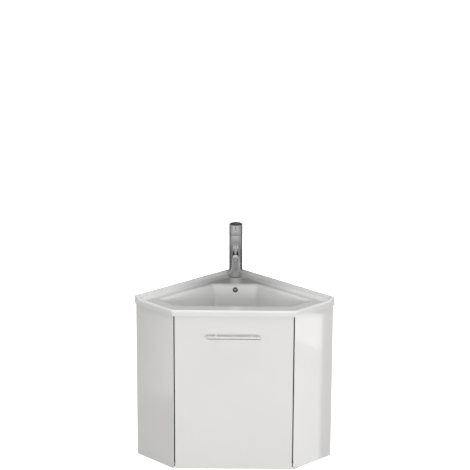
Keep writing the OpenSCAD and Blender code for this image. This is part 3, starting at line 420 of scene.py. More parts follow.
finishes = {
    "gloss_white_board": glossWhiteBoard, "white_board": whiteBoard, "basin_white": basinGlaze, "chrome": chrome,
    "handle_steel": handleSteel, "zinc_steel": zincSteel, "brass": brass, "black_rubber": blackRubber,
    "white_plastic": whitePlastic, "ivory_plastic": ivoryPlastic,
}
for name, node in nodes.items():
    if node.material_slots:
        for place in node.material_slots:
            place.material = finishes[slotOf[name]]
    else:
        node.data.materials.append(finishes[slotOf[name]])
print("materials are on the frame's parts")


# Modelling helpers. Lengths, places and points are in mm.
zUp = (0, 0, 1)


def nothingSelected():
    if bpy.context.mode != "OBJECT":
        bpy.ops.object.mode_set(mode="OBJECT")
    bpy.ops.object.select_all(action="DESELECT")


def makeActive(piece):
    nothingSelected()
    bpy.context.view_layer.objects.active = piece
    piece.select_set(True)


def settle(piece):
    # moves the piece's place, turn and scale into its mesh
    makeActive(piece)
    bpy.ops.object.transform_apply(location=True, rotation=True, scale=True)
    return piece


def block(name, low, high, turned=0.0):
    # a box between two corners, turned about its own middle by degrees
    nothingSelected()
    middle = [(a + b) / 2 * mm for a, b in zip(low, high)]
    bpy.ops.mesh.primitive_cube_add(size=1, location=middle, rotation=(0, 0, radians(turned)))
    piece = bpy.context.object
    piece.name = name
    piece.scale = [abs(b - a) * mm for a, b in zip(low, high)]
    return settle(piece)


def edit(piece, mode="FACE"):
    makeActive(piece)
    bpy.ops.object.mode_set(mode="EDIT")
    bpy.ops.mesh.select_mode(type=mode)
    bpy.ops.mesh.select_all(action="DESELECT")


def pick(piece, kind, test):
    # selects the faces, edges or corners that pass the test; a face is tested by its middle and normal
    mesh = bmesh.from_edit_mesh(piece.data)
    parts, given = {
        "faces": (mesh.faces, lambda face: (face.calc_center_median() / mm, face.normal)),
        "edges": (mesh.edges, lambda edge: [corner.co / mm for corner in edge.verts]),
        "corners": (mesh.verts, lambda corner: [corner.co / mm]),
    }[kind]
    found = [part for part in parts if test(*given(part))]
    for part in found:
        part.select_set(True)
    mesh.select_flush_mode()
    bmesh.update_edit_mesh(piece.data)
    return found


def cutOff(piece, point, normal):
    # cuts the piece by a plane and clears what lies on the normal's side
    edit(piece)
    bpy.ops.mesh.select_all(action="SELECT")
    bpy.ops.mesh.bisect(plane_co=[a * mm for a in point], plane_no=normal, use_fill=True, clear_outer=True)
    bpy.ops.object.mode_set(mode="OBJECT")


def bevelEdges(piece, test, width, segments):
    edit(piece, "EDGE")
    if pick(piece, "edges", test):
        bpy.ops.mesh.bevel(offset_type="OFFSET", offset=width * mm, segments=segments, profile=0.5, affect="EDGES",
                           clamp_overlap=True)
    bpy.ops.object.mode_set(mode="OBJECT")


def useModifier(piece, kind, **settings):
    makeActive(piece)
    modifier = piece.modifiers.new(kind.lower(), kind)
    for key, value in settings.items():
        setattr(modifier, key, value)
    bpy.ops.object.modifier_apply(modifier=modifier.name)
    return piece


def combine(piece, other, operation="DIFFERENCE"):
    useModifier(piece, "BOOLEAN", operation=operation, object=other, solver="EXACT")
    bpy.data.objects.remove(other)
    return piece


def softEdges(piece, width, segments=3, angle=35.0):
    return useModifier(piece, "BEVEL", width=width * mm, segments=segments, limit_method="ANGLE", angle_limit=radians(angle),
                       harden_normals=False, miter_outer="MITER_ARC", use_clamp_overlap=True)


def cleanMesh(piece, gap=0.01):
    edit(piece, "VERT")
    bpy.ops.mesh.select_all(action="SELECT")
    bpy.ops.mesh.remove_doubles(threshold=gap * mm)
    bpy.ops.mesh.normals_make_consistent(inside=False)
    bpy.ops.object.mode_set(mode="OBJECT")
    return piece


def joinAll(name, pieces):
    nothingSelected()
    for piece in pieces:
        piece.select_set(True)
    bpy.context.view_layer.objects.active = pieces[0]
    if len(pieces) > 1:
        bpy.ops.object.join()
    pieces[0].name = name
    return pieces[0]


def aimPiece(piece, place, aim=zUp, spin=0.0):
    # turns a piece modelled on Z so that its Z runs along the aim, and moves it to the place
    turn = Matrix.Identity(4)
    if Vector(aim).normalized() != Vector(zUp):
        turn = Vector(aim).to_track_quat("Z", "Y").to_matrix().to_4x4()
    move = Matrix.Translation([a * mm for a in place])
    piece.matrix_world = move @ turn @ Matrix.Rotation(radians(spin), 4, "Z") @ piece.matrix_world
    return settle(piece)


def turned(name, outline, place=(0, 0, 0), aim=zUp, sides=64, closed=False, spin=0.0):
    # a turned part: a ring is extruded and resized along the outline's (radius, height) pairs, then aimed along an axis;
    # a closed outline makes a ring, and an open one is closed at both ends with one face each
    nothingSelected()
    outline = list(outline) + ([outline[0]] if closed else [])
    thin = 0.01
    before = max(outline[0][0], thin)
    bpy.ops.mesh.primitive_circle_add(vertices=sides, radius=before * mm, location=(0, 0, outline[0][1] * mm))
    piece = bpy.context.object
    piece.name = name
    settle(piece)
    bpy.ops.object.mode_set(mode="EDIT")
    bpy.ops.mesh.select_all(action="SELECT")
    for (radius, height), (_, lastHeight) in zip(outline[1:], outline):
        radius = max(radius, thin)
        bpy.ops.mesh.extrude_region_move(TRANSFORM_OT_translate={"value": (0, 0, (height - lastHeight) * mm)})
        bpy.ops.transform.resize(value=(radius / before, radius / before, 1), center_override=(0, 0, height * mm))
        before = radius
    bpy.ops.mesh.select_all(action="SELECT")
    bpy.ops.mesh.remove_doubles(threshold=0.00002)
    bpy.ops.object.mode_set(mode="OBJECT")
    if not closed:
        edit(piece, "EDGE")
        bpy.ops.mesh.select_non_manifold()
        bpy.ops.mesh.fill_holes(sides=0)
        bpy.ops.object.mode_set(mode="OBJECT")
    cleanMesh(piece, 0.005)
    return aimPiece(piece, place, aim, spin)


def rod(name, place, aim, radius, low, high, sides=48):
    # a plain cylinder, from low to high along the aim
    return turned(name, ((0, low), (radius, low), (radius, high), (0, high)), place, aim, sides)


def drill(piece, place, aim, radius, low, high, sides=48):
    # takes a plain round hole out of the piece, from low to high along the aim
    return combine(piece, rod("drill", place, aim, radius, low, high, sides))


def band(inner, outer, low, high, chamfer):
    # the closed outline of a ring with both outer edges chamfered
    return ((inner, low), (outer - chamfer, low), (outer, low + chamfer),
            (outer, high - chamfer), (outer - chamfer, high), (inner, high))


def copyOf(piece, name=None):
    copy = bpy.data.objects.new(name or piece.name, piece.data.copy())
    scene.collection.objects.link(copy)
    return copy


def around(piece, count):
    # copies of a piece turned about Z, each with its own mesh, then joined
    pieces = [piece]
    for number in range(1, count):
        copy = copyOf(piece)
        copy.matrix_world = Matrix.Rotation(2 * pi * number / count, 4, "Z")
        pieces.append(settle(copy))
    return joinAll(piece.name, pieces)


def fit(piece, body, nodeName=None, angle=32.0):
    # shades the piece, gives it its finish, and hands it to its body in place of the frame's part;
    # a piece with no part of its own in the frame is of black rubber
    makeActive(piece)
    bpy.ops.object.shade_smooth_by_angle(angle=radians(angle))
    useModifier(piece, "WEIGHTED_NORMAL", weight=50, keep_sharp=True)      # large faces stay flat beside their rounded edges
    slotName = slotOf[nodeName] if nodeName else "black_rubber"
    piece.data.materials.clear()
    piece.data.materials.append(finishes[slotName])
    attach(piece, body)
    if nodeName:
        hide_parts(nodeName)


def wallPoint(p, g, side=1):
    # p along a wall from the room corner and g off it, in the object's frame
    return side * (p - g) / sqrt(2), -(p + g) / sqrt(2) + cornerY / mm


def offWalls(point):
    # distances of a point from the left wall and from the right wall
    x, y = point[0], point[1] - cornerY / mm
    return (x - y) / sqrt(2), (-x - y) / sqrt(2)


basinLook = {
    "leg": 507.0, "front": -499.146,        # the front is measured from the room corner
    "foot": 579.0, "lip": 600.5, "rim": 610.0, "deck": 596.0,
    "cornerRound": 10.0, "edgeRound": 7.0, "lipWide": 10.0, "rampLong": 16.0, "raisedRound": 2.6,
    # the tips' rounding, and how much deeper it goes into the rim and into the raised edge
    "tipRound": 3.0, "rimDeeper": 0.05, "raisedDeeper": 0.09,
    "pocketFlare": 9.0, "pocketRound": 9.0, "pocketFrontRound": 4.0, "pocketFoot": 3.4,
    "bowlBack": 171.0, "wallGap": 64.0, "returnGap": 60.0, "frontGap": 71.0, "cornerRs": (22.0, 25.0, 45.0),
    "skirt": 24.0, "recess": 5.0, "bowlDeep": 116.0,
    # height below the deck and inset of the bowl's wall, from the rolled edge to the floor
    "hollow": ((6, -9), (0.3, -9), (-0.25, -6.2), (-1.1, -3.6), (-2.5, -1.2), (-4.6, 0.9), (-7.4, 2.7), (-11, 4.2), (-24, 8),
               (-46, 14.1), (-68, 20.2), (-84, 25), (-94, 29), (-102, 34), (-108, 40), (-112.4, 47), (-115.1, 55), (-116,
                       63)),
    "under": ((-10.5, -8), (-30, -4), (-93, 13), (-110, 22), (-120, 33), (-126, 45), (-127, 55)),
    "drainBack": 300.0, "drainR": 22.5, "flangeR": 31.9, "flangeDeep": 3.0, "tapBack": 66.0, "tapHoleR": 17.5,
    "bossLow": 452.0, "bossHigh": 478.0, "bossR": 40.0, "ductHalf": 22.0, "runnerHalf": 21.2, "channelHalf": 14.0,
    "overflowR": 7.5, "overflowZ": 576.0, "overflowBack": 177.86, "overflowTilt": 15.945,
}


def cornerBlock(name, near, far, front, low, high):
    # a block that fills the room corner between two distances off both walls, cut off square at the front
    middle = (near + far) / 2
    half = (far - near) / 2
    centreY = cornerY / mm - middle * sqrt(2)
    piece = block(name, (-half, centreY - half, low), (half, centreY + half, high), 45)
    cutOff(piece, (0, front + cornerY / mm, low), (0, -1, 0))
    return piece


def bowlCircles(look, inset):
    # centre and radius of the six corner circles of the bowl's outline at one inset;
    # lower down, the two round corners of each end have all but met
    back, wall, front = look["cornerRs"]
    frontY = look["front"] + look["frontGap"] + inset + front
    gap = look["wallGap"] + inset + wall
    straight = 0.4
    along = min(look["leg"] - look["returnGap"] - inset, front - sqrt(2) * frontY - gap - straight)
    c = inset + back
    half = [(sqrt(2) * -(look["wallGap"] + c) + look["bowlBack"] + c, -(look["bowlBack"] + c), back),
            ((along - wall - gap) / sqrt(2), -(along - wall + gap) / sqrt(2), wall),
            (sqrt(2) * (along - front) + frontY, frontY, front)]
    return [(side * x, y + cornerY / mm, r) for side in (1, -1) for x, y, r in half]


def bowlOutline(look, inset):
    # the outline's points in order of the way they face: back, right corner, front, left corner
    circles = bowlCircles(look, inset)
    points = []
    arcs = ((90, 45, 6, 0), (45, -45, 12, 1), (-45, -90, 7, 2), (-90, -135, 7, 5), (-135, -225, 12, 4), (-225, -270, 6, 3))
    for start, end, steps, circle in arcs:
        x, y, r = circles[circle]
        for i in range(steps + 1):
            angle = radians(start + (end - start) * i / steps)
            points.append((x + r * cos(angle), y + r * sin(angle)))
    return points


def loftedForm(name, look, levels):
    # a ring is extruded level by level, and each level's ring is drawn in to the outline there
    count = len(bowlOutline(look, 0))
    nothingSelected()
    bpy.ops.mesh.primitive_circle_add(vertices=count, radius=0.1, fill_type="NGON", location=(0, 0, 0))
    piece = bpy.context.object
    piece.name = name
    bpy.ops.object.mode_set(mode="EDIT")
    bpy.ops.mesh.select_all(action="SELECT")
    for number, (height, inset) in enumerate(levels):
        if number:
            bpy.ops.mesh.extrude_region_move(TRANSFORM_OT_translate={"value": (0, 0, -mm)})
        mesh = bmesh.from_edit_mesh(piece.data)
        ring = [loop.vert for face in mesh.faces if face.select for loop in face.loops]
        if number == 0:
            # the cap keeps its own order of corners through every extrusion
            order = sorted(ring, key=lambda v: -((atan2(v.co.y, v.co.x) - pi / 2) % (2 * pi)))
            follow = [order.index(v) for v in ring]
        outline = bowlOutline(look, inset)
        for v, place in zip(ring, follow):
            v.co = (outline[place][0] * mm, outline[place][1] * mm, (look["deck"] + height) * mm)
        bmesh.update_edit_mesh(piece.data)
    bpy.ops.object.mode_set(mode="OBJECT")
    return cleanMesh(piece)


def roundTips(piece, look, deeper):
    # three upright cuts round both tips of the rim
    r = look["tipRound"]
    for side in (1, -1):
        x, y = wallPoint(look["leg"] - r - deeper, r + deeper, side)
        for turn in (22.5, 0, -22.5):
            normal = (side * cos(radians(turn)), sin(radians(turn)), 0)
            cutOff(piece, (x + r * normal[0], y + r * normal[1], look["rim"]), normal)


def upright(a, b):
    return abs(a.x - b.x) < 0.1 and abs(a.y - b.y) < 0.1


def makeRim(look):
    # a corner block with its front corners, apex and upper outer edge rounded
    room = cornerY / mm
    leg, lipWide, rim, deck = look["leg"], look["lipWide"], look["rim"], look["deck"]
    frontCorner = leg * sqrt(2) + look["front"]
    nearWall = lipWide + 1

    def atApex(a, b):
        return upright(a, b) and a.y > room - 5

    def outerTop(a, b):
        wallEdge = any(max(offWalls(a)[n], offWalls(b)[n]) < nearWall for n in (0, 1))
        return min(a.z, b.z) > look["lip"] - 0.1 and min(offWalls(a) + offWalls(b)) > -0.1 and not wallEdge

    basin = cornerBlock("basinCeramic", 0, leg, look["front"], look["foot"], look["lip"])
    bevelEdges(basin, lambda a, b: upright(a, b) and abs(abs(a.x) - frontCorner) < 1,
               look["cornerRound"] * tan(radians(22.5)), 6)
    bevelEdges(basin, atApex, look["cornerRound"], 6)
    bevelEdges(basin, outerTop, look["edgeRound"], 8)
    # the raised back edge: an L along both walls, a little rounded on top
    raised = cornerBlock("raised", 0, leg, -1000, deck - 2, rim)
    bevelEdges(raised, atApex, look["cornerRound"], 6)
    combine(raised, cornerBlock("inner", lipWide, 700, -1200, deck - 20, rim + 20))
    bevelEdges(raised, lambda a, b: min(a.z, b.z) > rim - 0.1 and not upright(a, b), look["raisedRound"], 4)
    roundTips(basin, look, look["rimDeeper"])
    roundTips(raised, look, look["raisedDeeper"])
    combine(basin, raised, "UNION")
    # at each tip the raised edge runs down to the lip in a short ramp
    for side in (1, -1):
        x, y = wallPoint(leg - lipWide / 2, lipWide + look["rampLong"] / 2 - 1, side)
        half = lipWide / 2 - 0.3
        long = look["rampLong"] / 2 + 1
        high = rim - 0.6
        ramp = block("ramp", (x - half, y - long, deck + 1), (x + half, y + long, high), side * -45)
        down = Vector((-side, -1, 0)).normalized()
        top = Vector((x, y, high)) - down * (long - 1)
        cutOff(ramp, top, (down * (rim - look["lip"]) + Vector((0, 0, look["rampLong"]))).normalized())
        combine(basin, ramp, "UNION")
    # the pocket between the lips, with a soft foot
    pocket = cornerBlock("pocket", lipWide, leg - lipWide, look["front"] + lipWide, deck, rim + 4)
    edit(pocket)
    pick(pocket, "faces", lambda middle, normal: normal.z > 0.9)
    spread = 1 + look["pocketFlare"] / (leg - 2 * lipWide)
    bpy.ops.transform.resize(value=(spread, spread, 1), center_override=(0, (room - leg / sqrt(2)) * mm, rim * mm))
    bpy.ops.object.mode_set(mode="OBJECT")
    steep = 5
    bevelEdges(pocket, lambda a, b: abs(a.z - b.z) > steep and abs(abs(a.x) - frontCorner) < 20, look["pocketFrontRound"], 5)
    bevelEdges(pocket, lambda a, b: abs(a.z - b.z) > steep and abs(abs(a.x) - frontCorner) >= 20, look["pocketRound"], 6)
    bevelEdges(pocket, lambda a, b: max(a.z, b.z) < deck + 0.1, look["pocketFoot"], 5)
    combine(basin, pocket)
    return softEdges(basin, 1.5, 3, 38)


def makeBasin(look):
    basin = makeRim(look)
    room = cornerY / mm
    skirt, low, high = look["skirt"], look["bossLow"], look["bossHigh"]
    drainY = room - look["drainBack"]
    ductY = room - look["overflowBack"] + 14
    duct, runner, channel = look["ductHalf"], look["runnerHalf"], look["channelHalf"]
    bowlZ = look["deck"] - look["bowlDeep"]
    tilt = radians(look["overflowTilt"])
    # the underside: a recess inside the skirt, the bowl's shell, the overflow's duct and the drain's boss
    combine(basin, cornerBlock("recess", skirt, look["leg"] - skirt, look["front"] + skirt, look["foot"] - 5,
                               look["foot"] + look["recess"]))
    combine(basin, loftedForm("shell", look, look["under"]), "UNION")
    combine(basin, softEdges(block("duct", (-duct, ductY - 50, low), (duct, ductY + 20, look["deck"] - 6)), 3, 3), "UNION")
    combine(basin, softEdges(block("runner", (-runner, drainY, low + 0.6), (runner, ductY, high - 1)), 3, 3), "UNION")
    combine(basin, rod("boss", (0, drainY, 0), zUp, look["bossR"], low, high, 64), "UNION")
    # the hollows: the bowl, the overflow and its channel, the drain with its flange seat, the tap's hole
    combine(basin, loftedForm("hollow", look, look["hollow"]))
    drill(basin, (0, room - look["overflowBack"], look["overflowZ"]), (0, -cos(tilt), sin(tilt)), look["overflowR"], -22,
          8, 40)
    combine(basin, block("channel", (-channel, ductY, low + 5), (channel, ductY + 12, look["deck"] - 8)))
    combine(basin, block("channel", (-channel, drainY, low + 5), (channel, ductY + 1, low + 15)))
    drill(basin, (0, drainY, 0), zUp, look["drainR"], low - 1, bowlZ + 16, 64)
    drill(basin, (0, drainY, 0), zUp, look["flangeR"], bowlZ - look["flangeDeep"], bowlZ + 2, 64)
    drill(basin, (0, room - look["tapBack"], 0), zUp, look["tapHoleR"], look["foot"], look["rim"], 48)
    return cleanMesh(basin, 0.02)


basin = makeBasin(basinLook)
fit(basin, "cabinet", "basin", angle=40)
print("basin is made:", len(basin.data.polygons), "faces")

# The cabinet's two outer panels: a slab along the return, cut flush with the front and along the door's gap.
sideLook = {"leg": 500.0, "board": 16.0, "long": 220.0, "height": 579.0, "front": -228.073, "nose": 213.561, "edge": 0.9}


def makeSide(look, name, side):
    half, long = look["board"] / 2, look["long"] / 2
    x, y = wallPoint(look["leg"] - half, long, side)
    panel = block(name, (x - half, y - long, 0), (x + half, y + long, look["height"]), side * -45)
    cutOff(panel, (0, look["front"], 0), (0, -1, 0))
    cutOff(panel, (side * look["nose"], 0, 0), (-side, 0, 0))
    return softEdges(panel, look["edge"], 3, 25)


fit(makeSide(sideLook, "sidePanelLeft", -1), "cabinet", "side_panel_left")
fit(makeSide(sideLook, "sidePanelRight", 1), "cabinet", "side_panel_right")

# The door: a slab with rounded edge bands, two cup pockets and the handle's screw holes.
doorLook = {"half": 209.561, "front": -228.073, "thick": 16.0, "low": 2.0, "high": 576.5, "edge": 1.0,
            "hingeZ": (97.0, 481.5), "cupX": -189.061, "cupR": 17.55, "cupDeep": 11.9, "handleZ": 507.0, "postX": 64.0,
            "holeR": 2.3}
doorBack = doorLook["front"] + doorLook["thick"]


def makeDoor(look):
    door = block("doorPanel", (-look["half"], look["front"], look["low"]), (look["half"], doorBack, look["high"]))
    softEdges(door, look["edge"], 4)
    for z in look["hingeZ"]:
        drill(door, (look["cupX"], doorBack, z), (0, -1, 0), look["cupR"], -2, look["cupDeep"], 48)
    for side in (-1, 1):
        drill(door, (side * look["postX"], doorBack, look["handleZ"]), (0, -1, 0), look["holeR"], -2, look["thick"] + 2, 24)
    return door


fit(makeDoor(doorLook), "door", "door_panel")

# Handle: a round bar on two posts that are hollowed to its curve.
handleLook = {"z": 507.0, "barY": -258.073, "barR": 6.0, "half": 94.0, "postX": 64.0, "postR": 5.0}


def makeHandle(look):
    r, pr, long = look["barR"], look["postR"], 2 * look["half"]
    end = ((0, 0), (r - 0.7, 0), (r - 0.25, 0.15), (r, 0.6))
    bar = turned("handleBar", end + tuple((radius, long - height) for radius, height in reversed(end)),
                 (-look["half"], look["barY"], look["z"]), (1, 0, 0), 64)
    reach = doorLook["front"] - look["barY"]
    posts = []
    for side in (-1, 1):
        post = turned("post", ((0, 0), (pr - 0.3, 0), (pr, 0.3), (pr, reach), (0, reach)),
                      (side * look["postX"], doorLook["front"], look["z"]), (0, -1, 0), 40)
        drill(post, (side * look["postX"] - 10, look["barY"], look["z"]), (1, 0, 0), r + 0.05, 0, 20, 64)
        posts.append(post)
    return bar, joinAll("handlePosts", posts)


bar, posts = makeHandle(handleLook)
fit(bar, "door", "handle_bar")
fit(posts, "door", "handle_posts")
print("outer panels, door and handle are made")


def titled(nodeName):
    return nodeName.replace("_", " ").title().replace(" ", "")


def softened(nodeName, body, width, segments=2):
    # a copy of a frame part, its triangles merged back into faces and its edges rounded
    copy = copyOf(nodes[nodeName], titled(nodeName))
    edit(copy, "VERT")
    bpy.ops.mesh.select_all(action="SELECT")
    bpy.ops.mesh.remove_doubles(threshold=0.00001)
    bpy.ops.mesh.dissolve_limited(angle_limit=radians(1.0))
    bpy.ops.object.mode_set(mode="OBJECT")
    fit(softEdges(copy, width, segments), body, nodeName)


for nodeName in ("bottom_panel", "hanging_rail_left", "hanging_rail_right", "foot_rail_left", "foot_rail_right",
                 "front_rail"):
    softened(nodeName, "cabinet", 0.7)
softened("shelf", "cabinet", 0.8)
softened("hinge_arms", "cabinet", 0.3)
softened("hinge_plates", "cabinet", 0.3)
softened("hinge_cups", "door", 0.2)
softened("door_bumpers", "cabinet", 0.8, 3)
softened("door_seals", "cabinet", 0.5)
print("inner boards, hinges and seals are softened")

# A thin black strip on the front rail, behind the top of each upright gap beside the door, is painted shade: it keeps
# the gap dark where the white rail would show through.
gapShadeLook = {"x": (207.5, 213.3), "y": (-209.85, -208.65), "z": (522.0, 577.5)}
for side in (-1, 1):
    (near, far), (front, back), (low, high) = gapShadeLook["x"], gapShadeLook["y"], gapShadeLook["z"]
    fit(softEdges(block("gapShadeStrip", (side * near, front, low), (side * far, back, high)), 0.4, 2), "cabinet")


def thread(name, radius, depth, pitch, low, high, sides=40):
    # three points of a profile are wound up into a helical thread by the Screw modifier, and both ends are cut flat
    nothingSelected()
    start = low - pitch
    bpy.ops.mesh.primitive_grid_add(x_subdivisions=1, y_subdivisions=2, size=pitch * mm,
                                    location=((radius + pitch / 2) * mm, 0, start * mm), rotation=(radians(90), 0, 0))
    piece = settle(bpy.context.object)
    piece.name = name
    edit(piece, "VERT")
    pick(piece, "corners", lambda c: c.x > radius + pitch / 4)
    bpy.ops.mesh.delete(type="VERT")
    edit(piece, "VERT")
    pick(piece, "corners", lambda c: abs(c.z - start) < pitch / 10)
    bpy.ops.transform.translate(value=(-depth * mm, 0, 0))
    bpy.ops.object.mode_set(mode="OBJECT")
    turns = int((high - low) / pitch) + 4
    useModifier(piece, "SCREW", axis="Z", angle=2 * pi, screw_offset=pitch * mm, iterations=turns, steps=sides,
                render_steps=sides,
                use_merge_vertices=True)
    cleanMesh(piece)
    cutOff(piece, (0, 0, low), (0, 0, -1))
    cutOff(piece, (0, 0, high), zUp)
    return cleanMesh(piece)


def hexNut(name, place, acrossR, boreR, low, high):
    chamfer, flatR, cornerR = 1.4, acrossR * 0.89, acrossR * 1.02
    nut = turned(name, ((0, low), (acrossR, low), (acrossR, high), (0, high)), place, sides=6, spin=30)
    combine(nut, turned("shape", ((0, low), (flatR, low), (cornerR, low + chamfer), (cornerR, high - chamfer),
                                  (flatR, high), (0, high)),
                        place), "INTERSECT")
    return combine(nut, turned("bore", ((0, low - 1), (boreR + 2, low - 1), (boreR, low + 1.2), (boreR, high - 1.2),
                                        (boreR + 2, high + 1), (0, high + 1)), place, sides=48))


# Tap: body with its cartridge pocket, spout, aerator, cap, lever and the fixing under the deck.
tapLook = {
    "y": 198.073, "bodyR": 24.25, "low": 597.5, "high": 758.0, "pocketR": 18.0, "pocketLow": 712.0, "grooveZ": 603.0,
    "waterwayR": 4.0, "spoutZ": 698.0, "spoutR": 11.2, "spoutFrom": 6.0, "spoutTo": 106.0, "domeHigh": 4.5, "spoutBore": 6.0,
    "aeratorAt": 93.0, "aeratorR": 9.0, "aeratorLow": 683.8, "capR": 24.5, "capLow": 758.6, "capHigh": 798.0,
    "pivotZ": 762.0,
    "lift": 22.0, "hollowR": 19.7, "roof": 782.0, "stemHalf": 3.55, "stemHigh": 792.4, "plugR": 2.45,
    "rodZ": 779.0, "rodR": 4.0, "rodLong": 45.0, "rodSlope": 8.0, "plugZ": 788.0,
    "shankR": 16.5, "shankLow": 545.0, "threadHigh": 590.0, "deckZ": 596.0, "washer": (580.0, 584.0), "washerR": 22.0,
    "nut": (571.0, 580.0), "socketX": 7.5, "socketR": 4.45,
}


def makeTapBody(look):
    y, r, s = look["y"], look["bodyR"], look["spoutR"]
    foot = (0, y, 0)
    low, high, groove = look["low"], look["high"], look["grooveZ"]
    pocketR, pocketLow = look["pocketR"], look["pocketLow"]
    body = turned("tapBody", (
        (0, low), (r - 0.8, low), (r - 0.2, low + 0.2), (r, low + 0.7), (r, groove - 1.1), (r - 0.15, groove - 0.75),
        (r - 0.6, groove - 0.5), (r - 0.6, groove + 0.5), (r - 0.15, groove + 0.75), (r, groove + 1.1), (r, high - 0.9),
        (r - 0.3, high - 0.2), (r - 0.9, high), (pocketR + 0.4, high), (pocketR, high - 0.4), (pocketR, pocketLow), (0,
                pocketLow)),
        foot, sides=96)
    drill(body, (0, y, look["spoutZ"]), (0, -1, 0), s + 0.05, 5, 30, 64)
    for side in (-1, 1):
        drill(body, (side * look["socketX"], y, 0), zUp, look["waterwayR"], low - 1, pocketLow + 1, 24)
    dome = [(s * cos(radians(a)), look["spoutTo"] - look["domeHigh"] * (1 - sin(radians(a)))) for a in range(0, 91, 9)]
    spout = turned("tapSpout", [(0, look["spoutFrom"]), (s, look["spoutFrom"])] + dome, (0, y, look["spoutZ"]),
                   (0, -1, 0), 72)
    drill(spout, (0, y, look["spoutZ"]), (0, -1, 0), look["spoutBore"], 0, look["aeratorAt"], 32)
    nozzle = (0, y - look["aeratorAt"], 0)
    a, z, top = look["aeratorR"], look["aeratorLow"], look["spoutZ"]
    drill(spout, nozzle, zUp, a + 0.05, top - s - 2, top, 48)
    mesh, recess = z + 2.6, z + 3.2
    aerator = turned("tapAerator", (
        (0, mesh), (1.0, mesh), (1.3, recess), (2.2, recess), (2.5, mesh), (3.3, mesh), (3.6, recess), (4.5, recess),
        (4.8, mesh),
        (5.6, mesh), (5.9, recess), (7.4, recess), (7.5, z + 0.4), (7.8, z), (8.6, z), (a, z + 0.4), (a, top - 1), (0,
                top - 1)),
        nozzle, sides=48)
    for spin in (0, 60, 120):
        combine(aerator, aimPiece(block("slot", (-7.2, -0.35, z + 1.5), (7.2, 0.35, z + 4)), nozzle, spin=spin))
    seal = turned("tapBaseSeal", band(6, r - 1, look["deckZ"], low, 0.3), foot, closed=True)
    return {"tap_body": body, "tap_spout": spout, "tap_aerator": aerator, "tap_base_seal": seal}


def makeLever(look):
    y, c, low, high = look["y"], look["capR"], look["capLow"], look["capHigh"]
    hollowR, roof, pivotZ, stem = look["hollowR"], look["roof"], look["pivotZ"], look["stemHalf"]
    cap = turned("leverCap", (
        (0, roof), (hollowR, roof), (hollowR, low + 0.5), (hollowR + 0.5, low), (c - 0.6, low), (c - 0.15, low + 0.15),
        (c, low + 0.6),
        (c, high - 2.6), (c - 0.15, high - 1.7), (c - 0.6, high - 0.85), (c - 1.4, high - 0.25), (c - 2.6, high), (0, high)),
        (0, y, 0), sides=96)
    # the cap's foot is cut so that it clears the body when the lever is lifted
    tilt = radians(look["lift"])
    cutOff(cap, (0, y, pivotZ - (pivotZ - low) / cos(tilt)), (0, sin(tilt), -cos(tilt)))
    combine(cap, block("stemSeat", (-stem, y - stem, pivotZ), (stem, y + stem, look["stemHigh"])))
    p = look["plugR"]
    drill(cap, (0, y, look["plugZ"]), (0, 1, 0), p + 0.1, 5, c + 2, 24)
    slope = radians(look["rodSlope"])
    q, long = look["rodR"], look["rodLong"]
    lever = turned("leverRod", ((0, -3), (q, -3), (q, long - 1), (q - 0.15, long - 0.5), (q - 0.5, long - 0.13),
                                (q - 1, long), (0, long)),
                   (0, y - c, look["rodZ"]), (0, -cos(slope), sin(slope)), 48)
    plug = turned("leverPlug", ((0, 0), (p, 0), (p, 17.7), (2.2, 18.1), (1.6, 18.2), (0.9, 17.9), (0, 17.8)),
                  (0, y + 5.5, look["plugZ"]), (0, 1, 0), 24)
    return {"lever_cap": cap, "lever_rod": lever, "lever_plug": plug}


def makeTapFixing(look):
    foot = (0, look["y"], 0)
    k, low, top = look["shankR"], look["shankLow"], look["threadHigh"]
    shank = thread("tapShank", k, 0.85, 1.5, low, top)
    combine(shank, turned("collar", ((0, top - 2), (k - 1, top - 2), (k, top), (k, look["deckZ"]), (0, look["deckZ"])),
                          sides=40), "UNION")
    for side in (-1, 1):
        drill(shank, (side * look["socketX"], 0, 0), zUp, look["socketR"], low - 1, low + 14, 24)
    aimPiece(shank, foot)
    washer = turned("tapWasher", band(k + 0.05, look["washerR"], *look["washer"], 0.5), foot, sides=48, closed=True)
    nut = hexNut("tapNut", foot, look["washerR"], k + 0.05, *look["nut"])
    return {"tap_shank": shank, "tap_washer": washer, "tap_nut": nut}


for make, body in ((makeTapBody, "cabinet"), (makeLever, "lever"), (makeTapFixing, "cabinet")):
    for nodeName, piece in make(tapLook).items():
        fit(piece, body, nodeName)
print("tap is made")

# Overflow: a thin bright ring round a dark insert, with a centre button on three spokes.
overflowLook = {"ringR": 9.5, "holeR": 8.9, "insertR": 9.0, "high": 1.8, "buttonR": 2.3, "spoke": 1.2}


def makeOverflow(look, basinLook):
    r, hole, seat, h, b = look["ringR"], look["holeR"], look["insertR"], look["high"], look["buttonR"]
    ring = turned("overflowRing", ((hole, 0), (r, 0), (r, h - 0.6), (r - 0.15, h - 0.2), (r - 0.3, h), (seat, h - 0.2),
                                   (hole, h - 0.5)), closed=True)
    button = turned("button", ((0, 0), (b, 0), (b, h - 0.7), (b - 0.25, h - 0.2), (b - 0.9, h), (0, h)), sides=32)
    half = look["spoke"] / 2
    spoke = softEdges(block("spoke", (-half, 1.5, 0.2), (half, 9.0, h * 0.6)), 0.25, 2)
    ring = joinAll("overflowRing", [ring, button, around(spoke, 3)])
    insert = turned("overflowInsert", ((6.1, -6), (7.45, -6), (7.45, 0), (seat, 0), (seat, 0.5), (6.6, 0.3), (6.1, -0.4)),
                    sides=48, closed=True)
    tilt = radians(basinLook["overflowTilt"])
    place = (0, cornerY / mm - basinLook["overflowBack"], basinLook["overflowZ"])
    return [aimPiece(piece, place, Vector((0, -cos(tilt), sin(tilt))), 180) for piece in (ring, insert)]


overflowRing, overflowInsert = makeOverflow(overflowLook, basinLook)
fit(overflowRing, "cabinet", "overflow_ring")
fit(overflowInsert, "cabinet")

